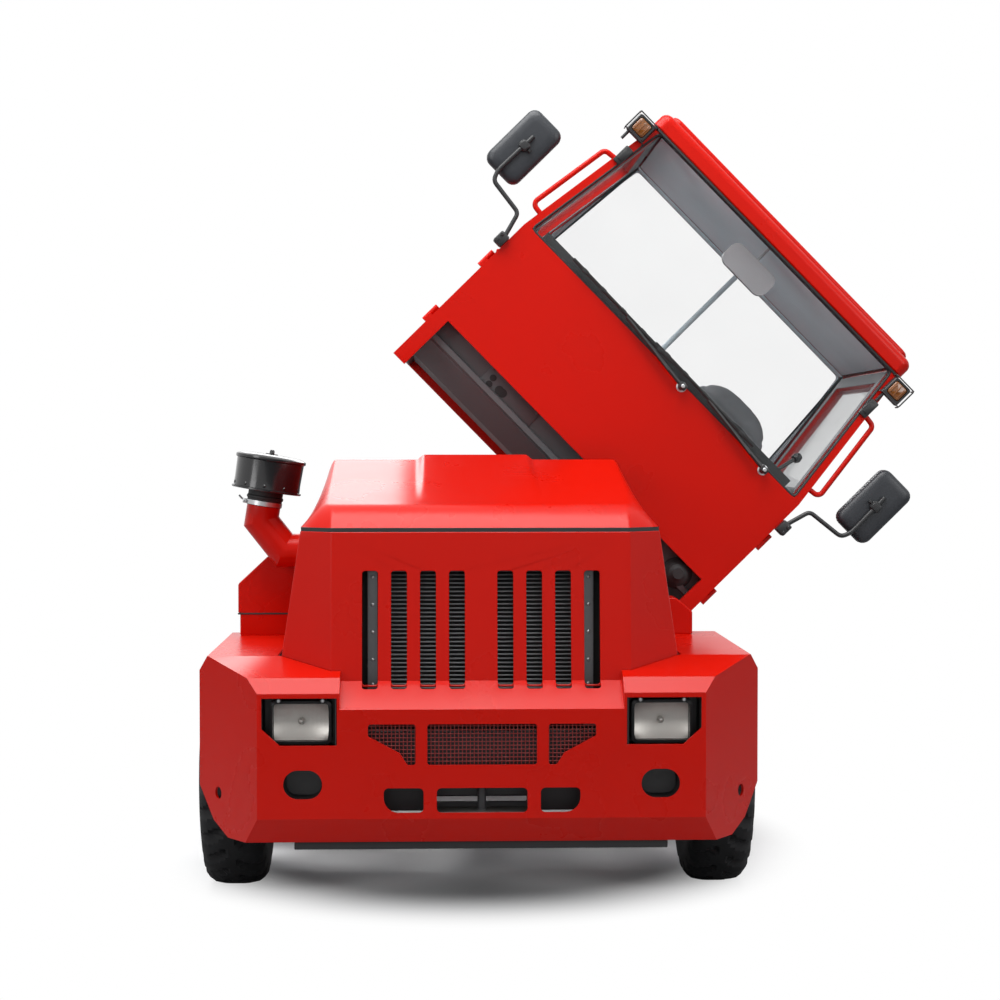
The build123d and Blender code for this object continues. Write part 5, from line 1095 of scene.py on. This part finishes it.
# %% Corner lamps and their wire guards
LAMP_Z = BELT_Z + 0.556
LAMP_OUT = 0.024
LENS = 0.058
LENS_RADIUS = 0.010
LENS_DEPTHS = ((1.128, 1.0), (1.114, 1.0), (1.107, 0.93), (1.104, 0.80))
LENS_RIB_XS = (-0.018, 0, 0.018)
LENS_RIB_YS = (1.1025, 1.106)
BODY_HALF = 0.041
BODY_YS = (1.127, 1.150)
BODY_RIM = ((1.130, 0.080), (1.112, 0.076), (1.110, 0.072), (1.110, 0.060), (1.130, 0.058))
HINGE_IN = 0.016
HINGE_BOXES = ((0.017, (1.132, 1.1502), (1.955, 2.030), 0.005), (0.010, (1.126, 1.134), (1.970, 2.014), 0.003))
GUARD_HALF = (0.045, 0.041)
GUARD_YS = (1.148, 1.101)
lenses = Piece("corner lamp lenses", CAB)
bodies = Piece("corner lamp bodies", CAB)
guards = Piece("corner lamp guards", CAB)
for side, sign in SIDES:
    x = sign * (pillar_x(LAMP_Z) + LAMP_OUT)
    lenses.loft([upright(rounded(LENS * scale, LENS * scale, LENS_RADIUS), x, depth, LAMP_Z)
                 for depth, scale in LENS_DEPTHS])
    for dx in LENS_RIB_XS:
        lenses.box((x + dx - 0.003, LENS_RIB_YS[0], LAMP_Z - 0.024),
                   (x + dx + 0.003, LENS_RIB_YS[1], LAMP_Z + 0.024), 0.0015)
    bodies.box((x - BODY_HALF, BODY_YS[0], LAMP_Z - BODY_HALF),
               (x + BODY_HALF, BODY_YS[1], LAMP_Z + BODY_HALF), 0.008)
    bodies.loft([upright(rounded(size, size, LENS_RADIUS), x, depth, LAMP_Z) for depth, size in BODY_RIM],
                closed_ends=False)
    hinge_x = sign * (pillar_x(1.990) - HINGE_IN)
    for half, ys, zs, soft in HINGE_BOXES:
        bodies.box((hinge_x - half, ys[0], zs[0]), (hinge_x + half, ys[1], zs[1]), soft)
    bodies.tube([(x - 0.026, 1.140, LAMP_Z - 0.040), (x - 0.026, 1.146, LAMP_Z - 0.075)], 0.006, 10)
    out, near, rise = x + sign * GUARD_HALF[0], x - sign * GUARD_HALF[0], GUARD_HALF[1]
    back, front = GUARD_YS
    guards.tube(bent([(out, back, LAMP_Z + rise), (out, front, LAMP_Z + rise),
                      (out, front, LAMP_Z - rise), (out, back, LAMP_Z - rise)], 0.012), 0.0028, 8)
    for z in (LAMP_Z - rise, LAMP_Z + rise):
        guards.tube(bent([(near, back, z), (near, front, z), (out, front, z)], 0.012), 0.0026, 8)
lenses.done("cab", "amber_lens")
bodies.done("cab", "black_plastic", stands_for=["corner_lamps"])
guards.done("cab", "black_plastic")

# %% [markdown]
# The driver's seat is foam under cloth. A block would look like a crate, so each pad is first
# a rounded, slightly small copy, then Blender's cloth swells it with pressure, and the sewn
# ribs are pressed in afterwards, because remeshing would wash them out.

# %% Seat pads
PAD_VOXEL = 0.013
PAD_SWELL = 0.012
PAD_STEPS = 16
PAD_PRESSURE = 4.0
PAD_CORNER_STEPS = 8
CHANNEL_PITCH = 0.056
CHANNEL_DEPTH = 0.009
CHANNEL_SHARP = 0.4
CHANNEL_ACROSS = (0.74, 0.86)
CHANNEL_ALONG = (0.34, 0.42)
PIPING = (0.80, 0.03)
PILLOW = ((0.0, 0.030), (0.10, 0.012), (0.28, 0.0), (0.72, 0.0), (0.90, 0.012), (1.0, 0.030))


def apply_modifiers(pad):
    graph = bpy.context.evaluated_depsgraph_get()
    mesh = bpy.data.meshes.new_from_object(pad.evaluated_get(graph))
    pad.modifiers.clear()
    pad.data = mesh


def swell(pad):
    remesh = pad.modifiers.new("remesh", "REMESH")
    remesh.mode = "VOXEL"
    remesh.voxel_size = PAD_VOXEL
    apply_modifiers(pad)
    rest = [v.co.copy() for v in pad.data.vertices]
    cloth = pad.modifiers.new("cloth", "CLOTH")
    cloth.settings.use_pressure = True
    cloth.settings.uniform_pressure_force = PAD_PRESSURE
    cloth.settings.effector_weights.gravity = 0
    cloth.point_cache.frame_start = 1
    cloth.point_cache.frame_end = PAD_STEPS
    scene = bpy.context.scene
    for step in range(1, PAD_STEPS + 1):
        scene.frame_set(step)
    apply_modifiers(pad)
    scene.frame_set(1)
    for vert, start in zip(pad.data.vertices, rest):
        move = vert.co - start
        if move.length > PAD_SWELL:
            vert.co = start + move.normalized() * PAD_SWELL


def seat_pad(name, width, length, thick, radii, place):
    """Place turns across, along and through into a point of the lowered cab."""
    form = Piece(name, Matrix.Identity(4))
    rings = []
    for share, tuck in PILLOW:
        ring = rounded(width - 2 * tuck, length - 2 * tuck, radii[0] - tuck, radii[1] - tuck, PAD_CORNER_STEPS)
        rings.append([(u, v, (share - 0.5) * thick) for u, v in ring])
    form.loft(rings)
    pad = form.done("cab", "seat_vinyl", sharp=180)
    swell(pad)
    smooth = pad.modifiers.new("smooth", "SUBSURF")
    smooth.levels = smooth.render_levels = 1
    apply_modifiers(pad)
    for vert in pad.data.vertices:
        across, along = abs(vert.co.x) / (width / 2), vert.co.y
        crease = 1 - abs(math.sin(math.pi * along / CHANNEL_PITCH)) ** CHANNEL_SHARP
        inside = 1 - smooth_step(*CHANNEL_ACROSS, across)
        inside *= 1 - smooth_step(*CHANNEL_ALONG, abs(along) / length)
        piping = math.exp(-((across - PIPING[0]) / PIPING[1]) ** 2)
        vert.co -= vert.normal * CHANNEL_DEPTH * max(crease * inside, 0.5 * piping)
    for vert in pad.data.vertices:
        vert.co = CAB @ Vector(place(*vert.co))
    for face in pad.data.polygons:
        face.use_smooth = True
    return pad


SEAT_X = 0.400
CUSHION = (0.462, 0.372, 0.106, (0.050, 0.060))
CUSHION_AT = (1.735, 1.192)
BACKREST = (0.420, 0.650, 0.048, (0.060, 0.160))
BACKREST_AT = (1.994, 1.472)
BACKREST_LEAN = 0.091


def on_cushion(u, v, w):
    return SEAT_X + u, CUSHION_AT[0] - v, CUSHION_AT[1] - w


def on_backrest(u, v, w):
    return SEAT_X + u, BACKREST_AT[0] + BACKREST_LEAN * v - w, BACKREST_AT[1] + v


seat_pad("seat cushion", *CUSHION, on_cushion)
backrest = seat_pad("seat backrest", *BACKREST, on_backrest)
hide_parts("seat_pads")

# %% [markdown]
# The driver looks at three dials and a row of switches on the slope of the dashboard. Dials are
# turned discs with a pale face, a needle and short marks. Pedals and a shift lever stand below.

# %% Dials, switches, pedals and lever
SLOPE_AT = Vector((0, 1.355, 1.535))
SLOPE_OUT = Vector((0, 0.763, 0.646))
SLOPE_UP = Vector((0, -0.646, 0.763))
ACROSS = Vector((1, 0, 0))
DIALS = ((0.245, 0.036), (0.555, 0.036), (0.140, 0.026))
DIAL_MARKS = 9
DIAL_SWEEP = (-30, 240)
DIAL_FACE = 0.0056
MARK_SHARES = (0.62, 0.78)
NEEDLE = (SLOPE_UP * 0.9 - ACROSS * 0.5).normalized() * 0.6
SWITCHES = 6
SWITCH_FIRST_X = -0.42
SWITCH_PITCH = 0.062
SWITCH = (Vector((0.018, 0.006, 0.013)), Vector((0.018, 0.008, 0.013)))
SWITCH_TURN = Matrix.Rotation(math.radians(-40), 3, "X")
PEDAL_XS = (0.300, 0.400, 0.520)
PEDAL_ARM = ((1.232, 1.240), (1.330, 1.200), (1.390, 1.070))
PEDAL_HALF = 0.034
PEDAL_TURN = Matrix.Rotation(math.radians(24), 3, "X")
LEVER = ((0.600, 1.395, 1.480), (0.612, 1.440, 1.600), (0.640, 1.480, 1.700))
LEVER_KNOB = [(0, -0.004), (0.016, 0.002), (0.020, 0.016), (0.014, 0.032), (0, 0.036)]
dials = Piece("dial faces", CAB)
rims = Piece("dial rims and switches", CAB)
for x, radius in DIALS:
    middle = SLOPE_AT + ACROSS * x
    spot = middle + SLOPE_OUT * DIAL_FACE
    rims.lathe([(radius, 0), (radius, 0.008), (radius - 0.005, 0.010), (radius - 0.006, 0.005), (0, 0.005)],
               middle, SLOPE_OUT, 28)
    for i in range(DIAL_MARKS):
        angle = math.radians(DIAL_SWEEP[0] + DIAL_SWEEP[1] * i / (DIAL_MARKS - 1))
        ray = (ACROSS * math.cos(angle) + SLOPE_UP * math.sin(angle)) * radius
        dials.tube([spot + ray * share for share in MARK_SHARES], 0.0008, 4)
    dials.tube([spot, spot + NEEDLE * radius], 0.0009, 4)
for i in range(SWITCHES):
    spot = SLOPE_AT + ACROSS * (SWITCH_FIRST_X + SWITCH_PITCH * i)
    rims.box(spot - SWITCH[0], spot + SWITCH[1], 0.003, SWITCH_TURN)
for x in PEDAL_XS:
    rims.tube(bent([(x, y, z) for y, z in PEDAL_ARM], 0.030), 0.008, 8)
    rims.box((x - PEDAL_HALF, 1.372, 1.030), (x + PEDAL_HALF, 1.392, 1.090), 0.006, PEDAL_TURN)
rims.tube(bent(LEVER, 0.060), 0.008, 10)
rims.lathe(LEVER_KNOB, LEVER[-1], (0.24, 0.34, 0.86), 18)
rims.done("cab", "black_plastic")
dials.done("cab", "rim_paint", dial_white)

# %% [markdown]
# The rear deck is walked on, so it is rolled with small raised lozenges set in pairs at right
# angles. The step boards carry the same pattern. Each lozenge is a low pointed form.

# %% Tread plate
LOZENGE = (0.028, 0.010, 0.0022)
LOZENGE_TOP = 0.55
TREAD_PITCH = 0.036
TREAD_SUNK = 0.0002
DECK = ((-0.846, 2.235), (0.846, 3.120), 0.900)
STEP_XS = (0.715, 0.870)
STEP_YS = (1.465, 1.900)
STEP_ZS = (0.312, 0.572)


def lozenge(piece, spot, turn):
    length, width, height = LOZENGE
    along = Vector((math.cos(turn), math.sin(turn), 0)) * length / 2
    across = Vector((-math.sin(turn), math.cos(turn), 0)) * width / 2
    arms = (along, across, -along, -across)
    top = spot + Vector((0, 0, height))
    piece.loft([[spot + arm for arm in arms], [top + arm * LOZENGE_TOP for arm in arms]])


def tread(piece, low, high, z):
    across = int((high[0] - low[0]) / TREAD_PITCH)
    along = int((high[1] - low[1]) / TREAD_PITCH)
    for i in range(across + 1):
        for j in range(along + 1):
            spot = Vector((low[0] + i * TREAD_PITCH, low[1] + j * TREAD_PITCH, z - TREAD_SUNK))
            lozenge(piece, spot, math.radians(45 if (i + j) % 2 else -45))


deck = Piece("deck tread")
tread(deck, *DECK)
deck.done("chassis", "red_paint")
boards = Piece("step treads")
for side, sign in SIDES:
    near, far = sorted(sign * x for x in STEP_XS)
    for z in STEP_ZS:
        tread(boards, (near, STEP_YS[0]), (far, STEP_YS[1]), z)
boards.done("chassis", "dark_steel")

# %% [markdown]
# A tail lamp is a row of coloured chambers with fine upright ribs, in a black frame. Bolts in
# pairs along the rails hold the brackets.

# %% Tail lamps and bolts
TAIL_Y = 3.228
TAIL_MIDDLE = (0.770, 0.745)
TAIL_RADIUS = 0.014
TAIL_FRAME = ((3.2005, 0.152, 0.102), (3.230, 0.148, 0.098), (3.2305, 0.134, 0.084), (3.2005, 0.134, 0.084))
CHAMBERS = {"amber": ("amber_lens", 0.706, 0.748), "red": ("red_lens", 0.752, 0.794),
            "white": ("lamp_glass", 0.798, 0.834)}
CHAMBER_ZS = (0.708, 0.782)
CHAMBER_HALF = 0.002
TAIL_RIB_PITCH = 0.006
TAIL_RIB_ZS = (0.712, 0.778)
TAIL_RIB_Y = TAIL_Y + 0.0015
RAIL_X = 0.450
BOLT_YS = (0.36, 0.50, 1.16, 1.26, 2.04, 2.14)
BOLT_ZS = (0.535, 0.605)
for name, (slot, start, end) in CHAMBERS.items():
    ribs = Piece(f"tail lamp {name} ribs")
    for side, sign in SIDES:
        ribs.box((sign * start, TAIL_Y - CHAMBER_HALF, CHAMBER_ZS[0]),
                 (sign * end, TAIL_Y + CHAMBER_HALF, CHAMBER_ZS[1]), 0.0015)
        x = start + TAIL_RIB_PITCH
        while x < end - 0.004:
            ribs.tube([(sign * x, TAIL_RIB_Y, z) for z in TAIL_RIB_ZS], 0.0016, 6)
            x += TAIL_RIB_PITCH
    ribs.done("chassis", slot)
frames = Piece("tail lamp frames")
bolts = Piece("chassis bolts")
for side, sign in SIDES:
    frames.loft([upright(rounded(width, height, TAIL_RADIUS), sign * TAIL_MIDDLE[0], depth, TAIL_MIDDLE[1])
                 for depth, width, height in TAIL_FRAME], closed_ends=False)
    for y in BOLT_YS:
        for z in BOLT_ZS:
            bolts.nut(0.011, (sign * RAIL_X, y, z), (sign, 0, 0), 0.009)
frames.done("chassis", "black_plastic")
bolts.done("chassis", "ram_chrome", zinc)

# %% [markdown]
# The picture was taken from in front, at about eye height, with a long lens, against white. A
# broad soft lamp above and to each side gives the paint its long highlights, and the floor
# keeps a soft contact shadow.

# %% Camera, light and floor
LENS_MM = 74.1
CAMERA_AT = (-0.165, -8.15, 1.543)
CAMERA_YAW = 1.95
CAMERA_DIP = 1.4
SENSOR_MM = 36
LAMPS = (
    ("overhead", (-0.6, -1.8, 6.2), (0, -0.2, 1), (5.0, 4.0), 430),
    ("front left", (-5.5, -5.5, 3.6), (0, -0.5, 1.2), (2.5, 3.5), 120),
    ("front right", (5.5, -5.0, 3.2), (0, -0.5, 1.2), (2.5, 3.5), 100),
    ("behind", (0, 6.0, 4.5), (0, 0, 1.2), (4.0, 2.5), 90),
)
FLOOR_REACH = 60
FLOOR_CORNERS = ((-1, -1), (1, -1), (1, 1), (-1, 1))
SHADOW_REACH = (0.95, 1.50)
SHADOW_SHAPE = (1.12, 0.95, 0)
FLOOR_MATT = (0.95, 0.95, 0.95, 1)
FLOOR_DULL = (0.40, 0.40, 0.40, 1)
WHITE = (1, 1, 1, 1)
FLOOR_GLOW = 0.03
SKY = (0.9, 0.93, 1.0, 1)
SKY_POWER = 0.32
camera = bpy.data.objects.new("camera", bpy.data.cameras.new("camera"))
camera.data.lens = LENS_MM
camera.data.sensor_width = SENSOR_MM
camera.location = CAMERA_AT
camera.rotation_euler = (math.radians(90 - CAMERA_DIP), 0, math.radians(-CAMERA_YAW))
bpy.context.scene.collection.objects.link(camera)
bpy.context.scene.camera = camera


def soft_lamp(name, place, target, size, power):
    lamp = bpy.data.lights.new(name, "AREA")
    lamp.shape = "RECTANGLE"
    lamp.size, lamp.size_y = size
    lamp.energy = power
    lamp_object = bpy.data.objects.new(name, lamp)
    lamp_object.location = place
    aim = Vector(target) - Vector(place)
    lamp_object.rotation_euler = aim.to_track_quat("-Z", "Y").to_euler()
    bpy.context.scene.collection.objects.link(lamp_object)


for lamp_row in LAMPS:
    soft_lamp(*lamp_row)

floor_mesh = bpy.data.meshes.new("floor")
floor_mesh.from_pydata(
    [(x * FLOOR_REACH, y * FLOOR_REACH, FLOOR_Z) for x, y in FLOOR_CORNERS], [], [(0, 1, 2, 3)])
floor = bpy.data.objects.new("floor", floor_mesh)
bpy.context.scene.collection.objects.link(floor)
floor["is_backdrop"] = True
material, graph = blank_material("pale floor")
matt = graph.node("ShaderNodeBsdfDiffuse", None, {"Color": FLOOR_MATT})
dull = graph.node("ShaderNodeBsdfDiffuse", None, {"Color": FLOOR_DULL})
glow = graph.node("ShaderNodeEmission", None, {"Color": WHITE, "Strength": FLOOR_GLOW})
paper = graph.node("ShaderNodeEmission", None, {"Color": WHITE, "Strength": 1.0})
lit = graph.node("ShaderNodeAddShader", None, {0: matt, 1: glow})
where = graph.node("ShaderNodeTexCoord", output="Object")
oval = graph.node("ShaderNodeVectorMath", {"operation": "MULTIPLY"}, {0: where, 1: SHADOW_SHAPE})
reach = graph.node("ShaderNodeVectorMath", {"operation": "LENGTH"}, {0: oval}, output="Value")
far = graph.node("ShaderNodeMapRange", {"interpolation_type": "SMOOTHSTEP"}, {
    "Value": reach, "From Min": SHADOW_REACH[0], "From Max": SHADOW_REACH[1]})
pale = graph.node("ShaderNodeMixShader", None, {"Fac": far, 1: lit, 2: paper})
seen = graph.node("ShaderNodeLightPath", output="Is Camera Ray")
close_material(graph, graph.node("ShaderNodeMixShader", None, {"Fac": seen, 1: dull, 2: pale}))
floor_mesh.materials.append(material)

world = bpy.data.worlds.new("studio")
bpy.context.scene.world = world
world.use_nodes = True
world.node_tree.nodes.clear()
graph = Shade(world.node_tree)
by_eye, by_gloss, through = (graph.node("ShaderNodeLightPath", output=f"Is {ray} Ray")
                             for ray in ("Camera", "Glossy", "Transmission"))
shown = graph.sum_with("MAXIMUM", graph.sum_with("MAXIMUM", by_eye, by_gloss), through)
ambient = graph.node("ShaderNodeBackground", None, {"Color": SKY, "Strength": SKY_POWER})
white = graph.node("ShaderNodeBackground", None, {"Color": WHITE, "Strength": 1.0})
graph.node("ShaderNodeOutputWorld", None, {
    "Surface": graph.node("ShaderNodeMixShader", None, {"Fac": shown, 1: ambient, 2: white})})
bpy.context.scene.view_settings.view_transform = "Standard"
print("studio ready")

# %% [markdown]
# Before closing, the box of the dressed tractor is measured.

# %% Sizes and close
low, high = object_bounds()
